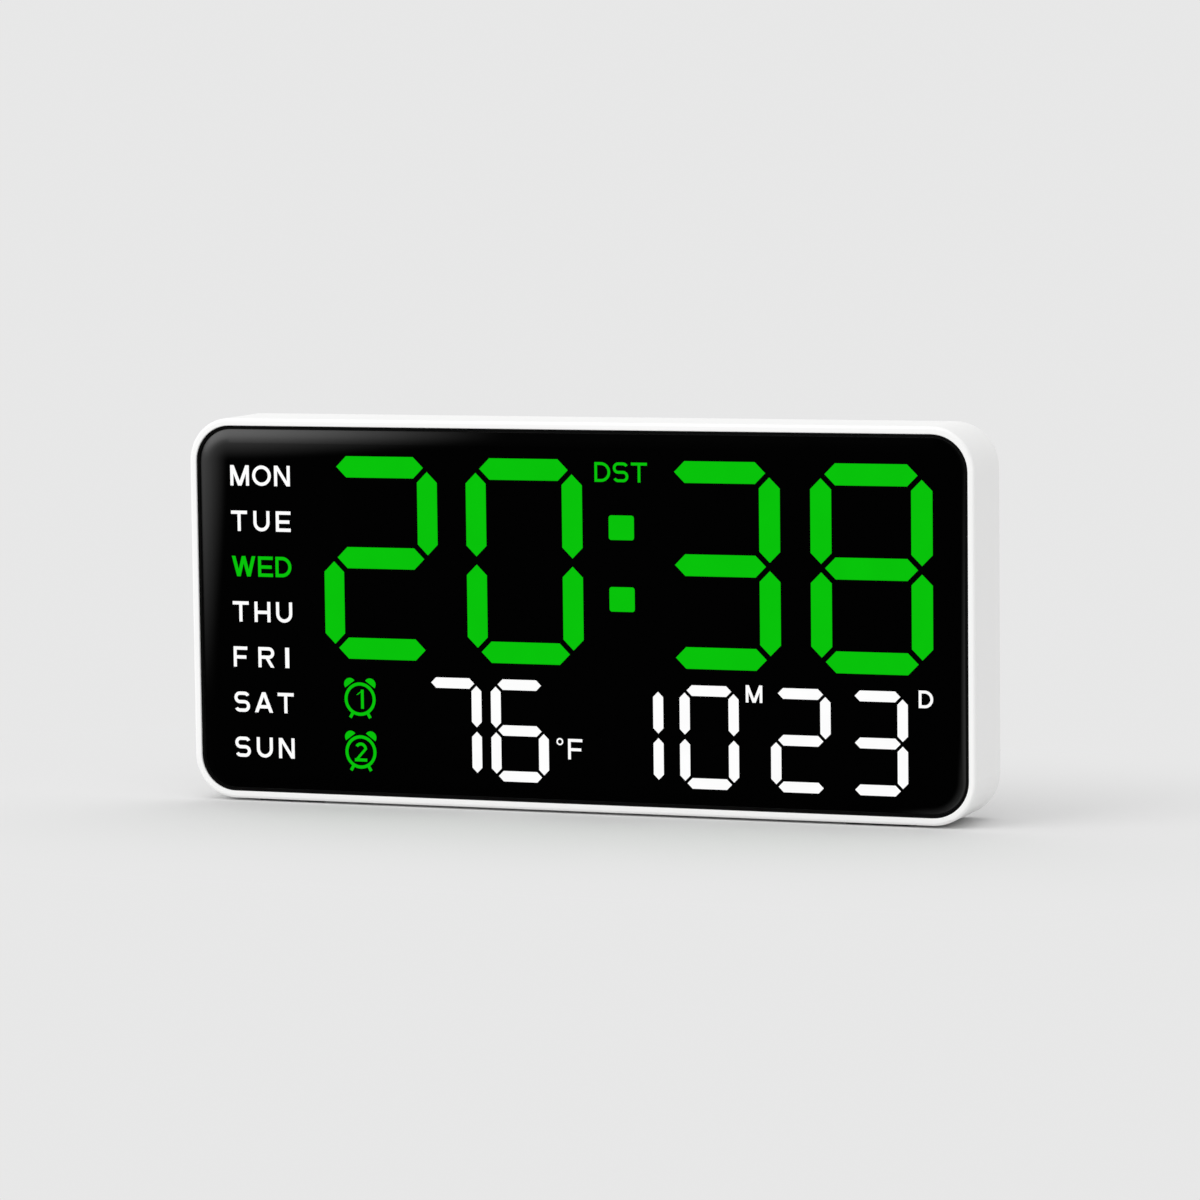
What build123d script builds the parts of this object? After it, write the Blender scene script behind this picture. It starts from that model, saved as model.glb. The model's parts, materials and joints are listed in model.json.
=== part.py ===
"""Digital wall clock with a lit seven-segment display, a rear key row and two fold-out legs.

Millimetres. The front faces -Y, +X is to the right of someone facing it, +Z is up.
The origin lies on the surface that the clock stands on, under the middle of the case.
"""

import os
from collections import namedtuple
from math import cos, radians, sin, sqrt

from build123d import *

os.makedirs("parts", exist_ok=True)

# Case
rim_width = 2.5
wall = 2.2
corner_radius = 14.8
front_edge_radius = 1.1
rear_edge_radius = 0.8
rim_edge_radius = 0.4
ledge_thickness = 1.6
cut_overrun = 1.0

# Foot pads
foot_height = 0.8
foot_recess = 0.7
foot_length = 24.0
foot_width = 7.0
foot_radius = 2.0
foot_side_margin = 34.0
foot_face_margin = 3.0

# Front panel and what is stacked behind it
panel_thickness = 2.0
panel_fall = 1.0
panel_fall_width = 4.8
panel_bevel = 0.25
gasket_width = 1.0
gasket_depth = 0.6
gasket_clearance = 0.05
tape_thickness = 0.3
tape_margin = 0.8
film_thickness = 0.25
film_margin = 0.4
light_box_depth = 9.0
light_box_side_margin = 9.3
light_box_top_margin = 7.6
light_box_bottom_margin = 4.5
light_box_clearance = 0.6
light_box_plate = 1.5
light_box_wall = 0.9
board_thickness = 1.6
board_gap = 6.25

# Time digits
time_width = 41.5
time_height = 68.6
time_stroke = 7.2
time_segment_gap = 1.9
time_digit_space = 10.4
colon_space = 27.5
colon_dot_width = 8.9
colon_dot_height = 8.2
colon_dot_radius = 0.9
colon_dot_spacing = 23.8

# Temperature and date digits
small_width = 20.6
small_height = 34.4
small_stroke = 3.55
small_segment_gap = 1.05
temperature_digit_space = 3.4
date_digit_space = 5.75
date_pair_space = 11.1
unit_space = 20.1

# Margins of the display
legend_margin = 12.7
weekday_gap = 12.2
time_right_margin = 11.7
date_right_margin = 20.4
time_top_margin = 9.8
row_gap = 5.4
small_bottom_margin = 6.8

# Legends
legend_depth = 0.6
weekday_width = 22.1
friday_width = 20.7
weekday_cap = 6.95
weekday_stroke = 1.15
weekday_top_drop = 3.6
weekday_bottom_rise = 5.0
dst_cap = 6.55
dst_stroke = 0.96
dst_width = 18.5
dst_drop = 0.75
unit_cap = 5.75
unit_stroke = 0.95
month_mark_gap = 2.5
day_mark_gap = 3.7
unit_rise = 0.6
degree_cap = 6.9
degree_stroke = 1.0
degree_letter_gap = 6.85
degree_letter_rise = 8.25
degree_ring_gap = 3.95
degree_ring_radius = 1.22
degree_ring_stroke = 0.52
degree_ring_rise = 14.1
alarm_gap = 18.8
alarm_pitch = 18.0
alarm_rise = 17.15
alarm_radius = 5.7
alarm_stroke = 1.1
alarm_bell_radius = 2.1
alarm_bell_gap = 0.55
alarm_foot_length = 2.2
alarm_foot_angle = 30
alarm_bell_angle = 36
alarm_cap = 6.5
alarm_cap_stroke = 1.05

# Light-emitting diodes and sensors on the display board
time_led_length = 3.5
time_led_width = 2.8
small_led_length = 2.0
small_led_width = 1.25
led_height = 0.8
window_margin = 1.3
sensor_window = 8.0
receiver_width = 6.0
receiver_height = 5.0
receiver_depth = 3.4
receiver_lens_radius = 1.8
sensor_length = 3.2
sensor_width = 2.4
sensor_depth = 1.2

# Screws and bosses
boss_radius = 3.2
standoff_radius = 3.6
screw_radius = 1.3
screw_head_radius = 2.3
screw_head_height = 1.7
screw_slot_width = 0.7
screw_slot_length = 2.8
screw_slot_depth = 0.9
thread_clearance = 0.05
hole_clearance = 0.3
case_boss_margin = 10.8
case_boss_spread = 50.0
case_standoff_height = 6.3
case_screw_length = 12.0
counterbore_depth = 5.0
board_boss_rise = 22.0
board_screw_length = 7.0
board_edge_clearance = 1.2

# Rear cover
cover_thickness = 2.2
cover_clearance = 0.2
skirt_thickness = 1.5
skirt_depth = 3.5
cover_edge_chamfer = 0.4

# Wall-hanging keyholes in the rear cover
keyhole_spacing = 150.0
keyhole_top_margin = 31.0
keyhole_entry_radius = 4.5
keyhole_slot_radius = 2.2
keyhole_slot_travel = 9.0

# Vents in the rear cover
vent_width = 2.2
vent_pitch = 5.0
vent_count = 6
vent_height = 18.0
vent_side_margin = 30.0
vent_top_margin = 29.0
low_vent_height = 8.0
low_vent_count = 9
low_vent_margin = 11.0

# Control board
control_width = 84.0
control_boss_inset = 4.0
control_boss_key_drop = 11.0
control_screw_length = 5.5

# Keys on the back
key_length = 11.0
key_width = 6.0
key_pitch = 16.0
key_edge_margin = 9.0
key_door_gap = 8.25
key_travel = 0.9
key_clearance = 0.3
key_flange = 1.0
key_play = 0.1
key_well_depth = 0.9
key_well_margin = 2.2
key_recess = 0.1
key_edge_radius = 0.5
plunger_radius = 1.75
plunger_clearance = 0.1
plunger_seat = 0.6
switch_side = 6.0
switch_height = 3.4
switch_bore_spare = 0.3
switch_gap = 0.7

# Coin cell, holder and door
cell_radius = 10.0
cell_thickness = 3.2
cell_clearance = 0.3
holder_base = 1.0
holder_wall = 1.6
clip_width = 6.0
clip_thickness = 0.4
well_clearance = 0.9
well_wall = 1.2
well_floor_gap = 0.3
door_seat = 1.3
door_end = 5.2
door_thickness = 2.0
door_clearance = 0.25
door_radius = 2.5
door_screw_radius = 1.0
door_screw_head_radius = 1.9
door_screw_head_height = 1.1
door_screw_recess = 1.3
door_screw_length = 5.0
door_screw_clearance = 0.1
door_grip_width = 0.9
door_grip_depth = 0.4
door_grip_pitch = 2.2
door_grip_count = 5

# Power inlet, buzzer and small parts of the control board
inlet_offset = 27.0
inlet_edge_margin = 12.0
inlet_width = 9.0
inlet_height = 3.3
inlet_shell = 0.3
inlet_length = 6.5
inlet_base = 1.0
tongue_width = 6.6
tongue_height = 0.7
tongue_recess = 0.8
inlet_opening_width = 13.4
inlet_opening_height = 7.4
buzzer_offset = 26.0
buzzer_edge_margin = 14.0
buzzer_radius = 6.0
buzzer_height = 5.4
buzzer_port_radius = 1.0
sound_hole_radius = 0.8
sound_ring_pitch = 2.8
sound_ring_step = 6
sound_ring_count = 2
chip_side = 10.0
chip_height = 1.5
chip_rise = 16.0
chip_lead_width = 0.4
chip_lead_pitch = 0.8
chip_lead_count = 10
chip_lead_length = 1.2
chip_lead_height = 0.5
driver_length = 15.4
driver_width = 7.5
driver_spacing = 116.0
crystal_length = 8.0
crystal_width = 3.2
crystal_height = 2.6
crystal_offset = 20.0
bead_radius = 1.3
bead_lead_radius = 0.25
bead_lead_length = 3.0
bead_lead_pitch = 1.4
bead_edge_margin = 5.0
link_wall = 1.2
link_width = 5.0
link_base = 2.0
link_socket_gap = 0.25
link_pin_side = 0.64
link_pin_pitch = 2.54
link_pin_count = 8
link_pin_depth = 2.6
link_slot_width = 1.4
link_drop = 20.0

# Fold-out legs
leg_height = 66.0
leg_reach = 42.0
leg_thickness = 3.8
leg_side_margin = 22.5
leg_bottom_margin = 9.0
leg_clearance = 0.4
leg_face_clearance = 0.3
leg_tray_wall = 1.6
leg_grip_width = 1.0
leg_grip_depth = 0.5
leg_grip_pitch = 2.4
leg_grip_count = 3
hinge_pin_radius = 1.0
hinge_clearance = 0.06
hinge_pin_seat = 4.0
hinge_block = 5.2
finger_notch_width = 7.0
finger_notch_height = 18.0

# Sizes that follow from the display
time_row_width = 4 * time_width + 2 * time_digit_space + colon_space
face_width = legend_margin + weekday_width + weekday_gap + time_row_width + time_right_margin
face_height = time_top_margin + time_height + row_gap + small_height + small_bottom_margin
panel_width = face_width - 2 * gasket_width
panel_height = face_height - 2 * gasket_width
body_width = face_width + 2 * rim_width
body_height = face_height + 2 * rim_width
face_radius = corner_radius - rim_width
panel_radius = face_radius - gasket_width
inner_width = body_width - 2 * wall
inner_height = body_height - 2 * wall
inner_radius = corner_radius - wall
centre_height = foot_height + body_height / 2

# Depths, from the front face to the back
standoff_height = switch_height + switch_gap + key_travel + key_flange + key_play
front_stack = panel_thickness + film_thickness + light_box_depth + board_thickness
rear_stack = board_thickness + standoff_height + cover_thickness
body_depth = front_stack + board_gap + rear_stack
front_y = -body_depth / 2
rear_y = body_depth / 2
panel_back = front_y + panel_thickness
ledge_front = panel_back + tape_thickness
ledge_back = ledge_front + ledge_thickness
light_box_front = panel_back + film_thickness
light_box_back = light_box_front + light_box_depth
board_back = light_box_back + board_thickness
cover_inner = rear_y - cover_thickness
control_back = cover_inner - standoff_height
control_front = control_back - board_thickness
case_boss_top = cover_inner - case_standoff_height

# Places on the display, measured from the middle of the black face
face_left = -face_width / 2
face_right = face_width / 2
face_top = face_height / 2
face_bottom = -face_height / 2
weekday_left = face_left + legend_margin
weekday_right = weekday_left + weekday_width
time_left = weekday_right + weekday_gap
time_top = face_top - time_top_margin
time_middle = time_top - time_height / 2
time_pitch = time_width + time_digit_space
time_pair = 2 * time_width + time_digit_space + colon_space
first_time_centre = time_left + time_width / 2
time_centres = [
    (first_time_centre, time_middle),
    (first_time_centre + time_pitch, time_middle),
    (first_time_centre + time_pair, time_middle),
    (first_time_centre + time_pair + time_pitch, time_middle),
]
colon_centre = time_left + time_row_width / 2
colon_places = [
    (colon_centre, time_middle + colon_dot_spacing / 2),
    (colon_centre, time_middle - colon_dot_spacing / 2),
]
small_bottom = face_bottom + small_bottom_margin
small_top = small_bottom + small_height
small_middle = small_bottom + small_height / 2
date_pitch = small_width + date_digit_space
day_units = face_right - date_right_margin - small_width / 2
day_tens = day_units - date_pitch
month_units = day_tens - small_width - date_pair_space
month_tens = month_units - date_pitch
temperature_units = month_tens - small_width - unit_space
temperature_tens = temperature_units - small_width - temperature_digit_space
date_centres = [(x, small_middle) for x in (month_tens, month_units, day_tens, day_units)]
temperature_centres = [(x, small_middle) for x in (temperature_tens, temperature_units)]
temperature_right = temperature_units + small_width / 2
weekday_rows = 7
weekday_first = time_top - weekday_top_drop - weekday_cap
weekday_last = small_bottom + weekday_bottom_rise
weekday_pitch = (weekday_first - weekday_last) / (weekday_rows - 1)
alarm_centre_x = weekday_right + alarm_gap + alarm_radius
alarm_centre_z = small_bottom + alarm_rise
alarm_centres = [
    (alarm_centre_x, alarm_centre_z + alarm_pitch / 2),
    (alarm_centre_x, alarm_centre_z - alarm_pitch / 2),
]
dst_left = colon_centre - dst_width / 2
dst_bottom = time_top - dst_drop - dst_cap
month_mark_left = month_units + small_width / 2 + month_mark_gap
day_mark_left = day_units + small_width / 2 + day_mark_gap
unit_bottom = small_top + unit_rise - unit_cap
degree_left = temperature_right + degree_letter_gap
degree_bottom = small_bottom + degree_letter_rise
degree_ring = (temperature_right + degree_ring_gap, small_bottom + degree_ring_rise)
receiver_place = (colon_centre, (colon_places[0][1] + colon_dot_height / 2 + dst_bottom) / 2)
sensor_place = (colon_centre, (colon_places[1][1] - colon_dot_height / 2 + small_top) / 2)

# Light box and display board outlines
light_box_width = face_width - 2 * light_box_side_margin
light_box_height = face_height - light_box_top_margin - light_box_bottom_margin
light_box_middle = (light_box_bottom_margin - light_box_top_margin) / 2
ledge_opening_width = light_box_width + 2 * light_box_clearance
ledge_opening_height = light_box_height + 2 * light_box_clearance
board_width = inner_width - 2 * board_edge_clearance
boss_x = (light_box_width + inner_width) / 4
case_boss_rise = inner_height / 2 - case_boss_margin
case_boss_top_z = (light_box_middle + light_box_height / 2 + inner_height / 2) / 2
case_boss_places = [
    (-boss_x, case_boss_rise),
    (boss_x, case_boss_rise),
    (-boss_x, -case_boss_rise),
    (boss_x, -case_boss_rise),
    (-case_boss_spread, case_boss_top_z),
    (case_boss_spread, case_boss_top_z),
]
board_reach = light_box_height / 2 + abs(light_box_middle)
board_notch_height = board_reach - case_boss_rise + boss_radius + board_edge_clearance
board_boss_places = [(sx * boss_x, sz * board_boss_rise) for sx in (-1, 1) for sz in (-1, 1)]

# Foot pad places, measured from the middle of the case
foot_x = body_width / 2 - foot_side_margin
foot_y = body_depth / 2 - foot_face_margin - foot_width / 2
foot_places = [(sx * foot_x, sy * foot_y) for sx in (-1, 1) for sy in (-1, 1)]

# Rear cover places, measured from the middle of the case
cover_width = inner_width - 2 * cover_clearance
cover_height = inner_height - 2 * cover_clearance
cover_radius = inner_radius - cover_clearance
keyhole_rise = body_height / 2 - keyhole_top_margin
vent_rise = body_height / 2 - vent_top_margin

# Coin cell, its well and its door
holder_radius = cell_radius + cell_clearance + holder_wall
cell_front = control_back + holder_base
cell_back = cell_front + cell_thickness
well_side = 2 * (holder_radius + well_clearance)
door_width = well_side + 2 * door_seat
door_height = well_side + 2 * (door_seat + door_end)
well_outer_width = door_width + 2 * (door_clearance + well_wall)
well_outer_height = door_height + 2 * (door_clearance + well_wall)
door_front = rear_y - door_thickness
well_front = control_back + well_floor_gap
door_screw_z = (well_side + door_height) / 4
door_screw_places = [(0, door_screw_z), (0, -door_screw_z)]
door_screw_seat = rear_y - door_screw_recess

# Keys above the door, and the control board behind them
key_names = ("set", "up", "down", "alarm", "light")
key_rise = well_outer_height / 2 + key_door_gap + key_width / 2 + key_flange
key_places = [
    ((index - (len(key_names) - 1) / 2) * key_pitch, key_rise) for index in range(len(key_names))
]
key_flange_back = cover_inner - key_play
key_flange_front = key_flange_back - key_flange
key_top = rear_y - key_recess
key_well_length = (len(key_names) - 1) * key_pitch + key_length + 2 * key_well_margin
key_well_width = key_width + 2 * key_well_margin
switch_top = control_back + switch_height
control_height = 2 * (key_rise + key_edge_margin)
control_boss_x = control_width / 2 - control_boss_inset
control_boss_high = key_rise - control_boss_key_drop
control_boss_low = control_boss_inset - control_height / 2
control_boss_places = [
    (sx * control_boss_x, z) for sx in (-1, 1) for z in (control_boss_high, control_boss_low)
]
inlet_place = (inlet_offset, inlet_edge_margin - control_height / 2)
buzzer_place = (-buzzer_offset, buzzer_edge_margin - control_height / 2)
bead_z = bead_edge_margin - control_height / 2

# Fold-out leg places
barrel_radius = leg_thickness / 2
leg_face = rear_y - leg_face_clearance
hinge_y = leg_face - barrel_radius
hinge_x = body_width / 2 - leg_side_margin
leg_bottom = leg_bottom_margin - body_height / 2
tray_floor = hinge_y - barrel_radius - leg_face_clearance
tray_depth = rear_y - tray_floor
tray_outer_x = hinge_x + barrel_radius + leg_clearance
tray_inner_x = hinge_x - leg_reach - leg_clearance
tray_width = tray_outer_x - tray_inner_x
tray_height = leg_height + 2 * leg_clearance
tray_middle_x = (tray_outer_x + tray_inner_x) / 2
tray_middle_z = leg_bottom + leg_height / 2
hinge_block_width = 2 * (barrel_radius + leg_clearance + leg_tray_wall)

# Segments lit for each digit, clockwise from the top with the middle one last
lit_segments = {
    "0": "abcdef",
    "1": "bc",
    "2": "abdeg",
    "3": "abcdg",
    "6": "acdefg",
    "7": "abc",
    "8": "abcdefg",
}
segment_shares = {
    "a": (0, 1),
    "b": (1, 0.5),
    "c": (1, -0.5),
    "d": (0, -1),
    "e": (-1, -0.5),
    "f": (-1, 0.5),
    "g": (0, 0),
}
upright_segments = "bcef"
time_shown = "2038"
temperature_shown = "76"
date_shown = "1023"
weekdays = ("MON", "TUE", "WED", "THU", "FRI", "SAT", "SUN")
today = "WED"
today_row = weekdays.index(today)

DigitSize = namedtuple("DigitSize", "width height stroke gap")
time_digit = DigitSize(time_width, time_height, time_stroke, time_segment_gap)
small_digit = DigitSize(small_width, small_height, small_stroke, small_segment_gap)


def walled(digit):
    """A digit whose segments are wider all round by the wall of the light box."""
    spread = 2 * light_box_wall
    return DigitSize(
        digit.width + spread, digit.height + spread, digit.stroke + spread, digit.gap - spread
    )


# Letter widths as shares of the cap height, and how the strokes divide a letter
letter_width_shares = {
    "A": 0.98,
    "D": 0.85,
    "E": 0.79,
    "F": 0.74,
    "H": 0.85,
    "I": 0.215,
    "M": 1.0,
    "N": 0.84,
    "O": 1.0,
    "R": 0.85,
    "S": 0.83,
    "T": 0.86,
    "U": 0.86,
    "W": 1.26,
    "1": 0.42,
    "2": 0.7,
}
middle_bar_share = 0.48
short_bar_share = 0.92
crossbar_share = 0.2
bowl_share = 0.58
slant_share = 1.15
terminal_angle = 62
numeral_flag_share = 0.72


def front_plane(y):
    """Plane parallel to the front face, centred on the panel, whose normal points to the front."""
    return Plane(origin=(0, y, centre_height), x_dir=(1, 0, 0), z_dir=(0, -1, 0))


def save(piece, name):
    piece.part.label = name
    export_step(piece.part, f"parts/{name}.step")


def dark_segments(figure):
    return "".join(letter for letter in segment_shares if letter not in lit_segments[figure])


def segment_places(letters, digit, centre):
    """Middle, length and turn of each named segment of a digit."""
    reach_x = (digit.width - digit.stroke) / 2
    reach_z = (digit.height - digit.stroke) / 2
    tip_gap = digit.gap / sqrt(2)
    places = []
    for letter in letters:
        across, up = segment_shares[letter]
        upright = letter in upright_segments
        span = reach_z if upright else 2 * reach_x
        middle = (centre[0] + across * reach_x, centre[1] + up * reach_z)
        places.append((middle, span - 2 * tip_gap, 90 if upright else 0))
    return places


def draw_segments(letters, digit, centre):
    """Six-sided bars of a seven-segment digit, added to the sketch in hand."""
    side = digit.stroke / 2
    for middle, length, turn in segment_places(letters, digit, centre):
        end = length / 2
        shoulder = end - side
        outline = [
            (-end, 0),
            (-shoulder, side),
            (shoulder, side),
            (end, 0),
            (shoulder, -side),
            (-shoulder, -side),
        ]
        with Locations(middle):
            Polygon(*outline, rotation=turn, align=None)


def draw_bar(left, bottom, right, top):
    with Locations(((left + right) / 2, (bottom + top) / 2)):
        Rectangle(right - left, top - bottom)


def draw_slant(foot, bottom, head, top, width):
    """Leaning stroke with level ends: its left edge runs from foot to head."""
    Polygon((foot, bottom), (foot + width, bottom), (head + width, top), (head, top), align=None)


def draw_arc(centre, radius, start, turn, stroke):
    with BuildLine(mode=Mode.PRIVATE) as path:
        CenterArc(centre, radius, start, turn)
    trace(path.line, line_width=stroke)


def draw_letter(letter, left, base, cap, stroke):
    """One capital or numeral of even stroke, added to the sketch in hand."""
    width = cap * letter_width_shares[letter]
    right = left + width
    top = base + cap
    middle = left + width / 2
    lean = stroke * slant_share
    if letter in "DEFHMNRU":
        draw_bar(left, base + (width / 2 if letter == "U" else 0), left + stroke, top)
    if letter in "HMN":
        draw_bar(right - stroke, base, right, top)
    if letter in "EF":
        bar = base + cap * middle_bar_share - stroke / 2
        draw_bar(left, top - stroke, right, top)
        draw_bar(left, bar, left + width * short_bar_share, bar + stroke)
    if letter == "E":
        draw_bar(left, base, right, base + stroke)
    if letter == "H":
        bar = base + cap * middle_bar_share - stroke / 2
        draw_bar(left, bar, right, bar + stroke)
    if letter == "I":
        draw_bar(left, base, right, top)
    if letter == "T":
        draw_bar(left, top - stroke, right, top)
        draw_bar(middle - stroke / 2, base, middle + stroke / 2, top)
    if letter == "M":
        draw_slant(middle - lean / 2, base, left, top, lean)
        draw_slant(middle - lean / 2, base, right - lean, top, lean)
    if letter == "N":
        draw_slant(right - lean, base, left, top, lean)
    if letter == "W":
        quarter = (width - lean) / 4
        draw_slant(left + quarter, base, left, top, lean)
        draw_slant(left + quarter, base, left + 2 * quarter, top, lean)
        draw_slant(left + 3 * quarter, base, left + 2 * quarter, top, lean)
        draw_slant(left + 3 * quarter, base, right - lean, top, lean)
    if letter == "A":
        bar = base + cap * crossbar_share
        inset = (width - lean) / 2 * crossbar_share
        draw_slant(left, base, middle - lean / 2, top, lean)
        draw_slant(right - lean, base, middle - lean / 2, top, lean)
        draw_bar(left + inset + lean / 2, bar, right - inset - lean / 2, bar + stroke)
    if letter == "U":
        radius = width / 2
        draw_bar(right - stroke, base + radius, right, top)
        draw_arc((middle, base + radius), radius - stroke / 2, 180, 180, stroke)
    if letter == "O":
        draw_arc((middle, base + cap / 2), (cap - stroke) / 2, 0, 360, stroke)
    if letter == "D":
        radius = cap / 2
        draw_bar(left, base, right - radius, base + stroke)
        draw_bar(left, top - stroke, right - radius, top)
        draw_arc((right - radius, base + radius), radius - stroke / 2, -90, 180, stroke)
    if letter == "R":
        radius = cap * bowl_share / 2
        waist = top - 2 * radius
        draw_bar(left, top - stroke, right - radius, top)
        draw_bar(left, waist, right - radius, waist + stroke)
        draw_arc((right - radius, top - radius), radius - stroke / 2, -90, 180, stroke)
        draw_slant(right - lean, base, middle - stroke / 2, waist + stroke / 2, lean)
    if letter == "S":
        radius = (cap - stroke) / 4
        near = left + stroke / 2 + radius
        far = right - stroke / 2 - radius
        high = top - stroke / 2 - radius
        low = base + stroke / 2 + radius
        for level in (top - stroke, base + cap / 2 - stroke / 2, base):
            draw_bar(near, level, far, level + stroke)
        draw_arc((near, high), radius, 90, 180, stroke)
        draw_arc((far, low), radius, -90, 180, stroke)
        draw_arc((far, high), radius, 90 - terminal_angle, terminal_angle, stroke)
        draw_arc((near, low), radius, 270 - terminal_angle, terminal_angle, stroke)
    if letter == "1":
        flag = base + cap * numeral_flag_share
        draw_bar(right - stroke, base, right, top)
        draw_slant(left, flag, right - stroke, top - stroke / 2, stroke / 2)
    if letter == "2":
        radius = width / 2
        draw_bar(left, base, right, base + stroke)
        draw_arc((middle, top - radius), radius - stroke / 2, 0, 180 - terminal_angle / 2, stroke)
        draw_slant(left, base + stroke / 2, right - lean, top - radius, lean)


def letter_widths(word, cap):
    return [cap * letter_width_shares[letter] for letter in word]


def draw_word(word, left, base, width, cap, stroke):
    """Word spread over a set width, with even spaces between its letters."""
    widths = letter_widths(word, cap)
    space = (width - sum(widths)) / (len(word) - 1)
    start = left
    for letter, letter_width in zip(word, widths):
        draw_letter(letter, start, base, cap, stroke)
        start += letter_width + space


def off_centre(centre, radius, angle):
    """Point at a radius from a centre, at an angle from straight up towards the right."""
    return (centre[0] + radius * sin(radians(angle)), centre[1] + radius * cos(radians(angle)))


def draw_alarm(numeral, centre):
    """Twin-bell alarm pictogram with a numeral in its ring."""
    ring = alarm_radius - alarm_stroke / 2
    draw_arc(centre, ring, 0, 360, alarm_stroke)
    for side in (-1, 1):
        foot_angle = side * (180 - alarm_foot_angle)
        with BuildLine(mode=Mode.PRIVATE) as foot:
            Line(
                off_centre(centre, ring, foot_angle),
                off_centre(centre, ring + alarm_foot_length, foot_angle),
            )
        trace(foot.line, line_width=alarm_stroke)
        bell_angle = side * alarm_bell_angle
        bell = off_centre(centre, alarm_radius + alarm_bell_gap, bell_angle)
        with BuildLine(mode=Mode.PRIVATE) as dome:
            cap_arc = CenterArc(bell, alarm_bell_radius, -bell_angle, 180)
            Line(cap_arc @ 1, cap_arc @ 0)
        make_face(dome.line.edges())
    numeral_width = alarm_cap * letter_width_shares[numeral]
    left = centre[0] - numeral_width / 2
    draw_letter(numeral, left, centre[1] - alarm_cap / 2, alarm_cap, alarm_cap_stroke)


def draw_screw_slots(places):
    """Cross recess in the head of each screw, added to the sketch in hand."""
    with Locations(*places):
        Rectangle(screw_slot_length, screw_slot_width)
        Rectangle(screw_slot_width, screw_slot_length)


# Shapes on the display, drawn once on the back of the panel and used by every piece behind it
with BuildSketch(front_plane(panel_back)) as time_lit_shapes:
    for figure, place in zip(time_shown, time_centres):
        draw_segments(lit_segments[figure], time_digit, place)

with BuildSketch(front_plane(panel_back)) as time_dark_shapes:
    for figure, place in zip(time_shown, time_centres):
        draw_segments(dark_segments(figure), time_digit, place)

with BuildSketch(front_plane(panel_back)) as colon_shapes:
    with Locations(*colon_places):
        RectangleRounded(colon_dot_width, colon_dot_height, colon_dot_radius)

with BuildSketch(front_plane(panel_back)) as temperature_shapes:
    for figure, place in zip(temperature_shown, temperature_centres):
        draw_segments(lit_segments[figure], small_digit, place)

with BuildSketch(front_plane(panel_back)) as date_shapes:
    for figure, place in zip(date_shown, date_centres):
        draw_segments(lit_segments[figure], small_digit, place)

with BuildSketch(front_plane(panel_back)) as small_dark_shapes:
    for figure, place in zip(temperature_shown + date_shown, temperature_centres + date_centres):
        draw_segments(dark_segments(figure), small_digit, place)

window_shapes = [
    time_lit_shapes,
    time_dark_shapes,
    colon_shapes,
    temperature_shapes,
    date_shapes,
    small_dark_shapes,
]

# Legends, drawn at the floor of their shallow pockets in the face of the panel
legend_floor = front_y + legend_depth
weekday_bases = [weekday_first - row * weekday_pitch for row in range(weekday_rows)]

with BuildSketch(front_plane(legend_floor)) as weekday_shapes:
    for word, base in zip(weekdays, weekday_bases):
        if word != today:
            word_width = friday_width if word == "FRI" else weekday_width
            draw_word(word, weekday_left, base, word_width, weekday_cap, weekday_stroke)

with BuildSketch(front_plane(legend_floor)) as today_shapes:
    draw_word(today, weekday_left, weekday_bases[today_row], weekday_width, weekday_cap, weekday_stroke)

with BuildSketch(front_plane(legend_floor)) as dst_shapes:
    draw_word("DST", dst_left, dst_bottom, dst_width, dst_cap, dst_stroke)

with BuildSketch(front_plane(legend_floor)) as alarm_shapes:
    for numeral, place in zip("12", alarm_centres):
        draw_alarm(numeral, place)

with BuildSketch(front_plane(legend_floor)) as unit_shapes:
    draw_letter("M", month_mark_left, unit_bottom, unit_cap, unit_stroke)
    draw_letter("D", day_mark_left, unit_bottom, unit_cap, unit_stroke)
    draw_letter("F", degree_left, degree_bottom, degree_cap, degree_stroke)
    draw_arc(degree_ring, degree_ring_radius - degree_ring_stroke / 2, 0, 360, degree_ring_stroke)

legend_shapes = [weekday_shapes, today_shapes, dst_shapes, alarm_shapes, unit_shapes]

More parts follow.
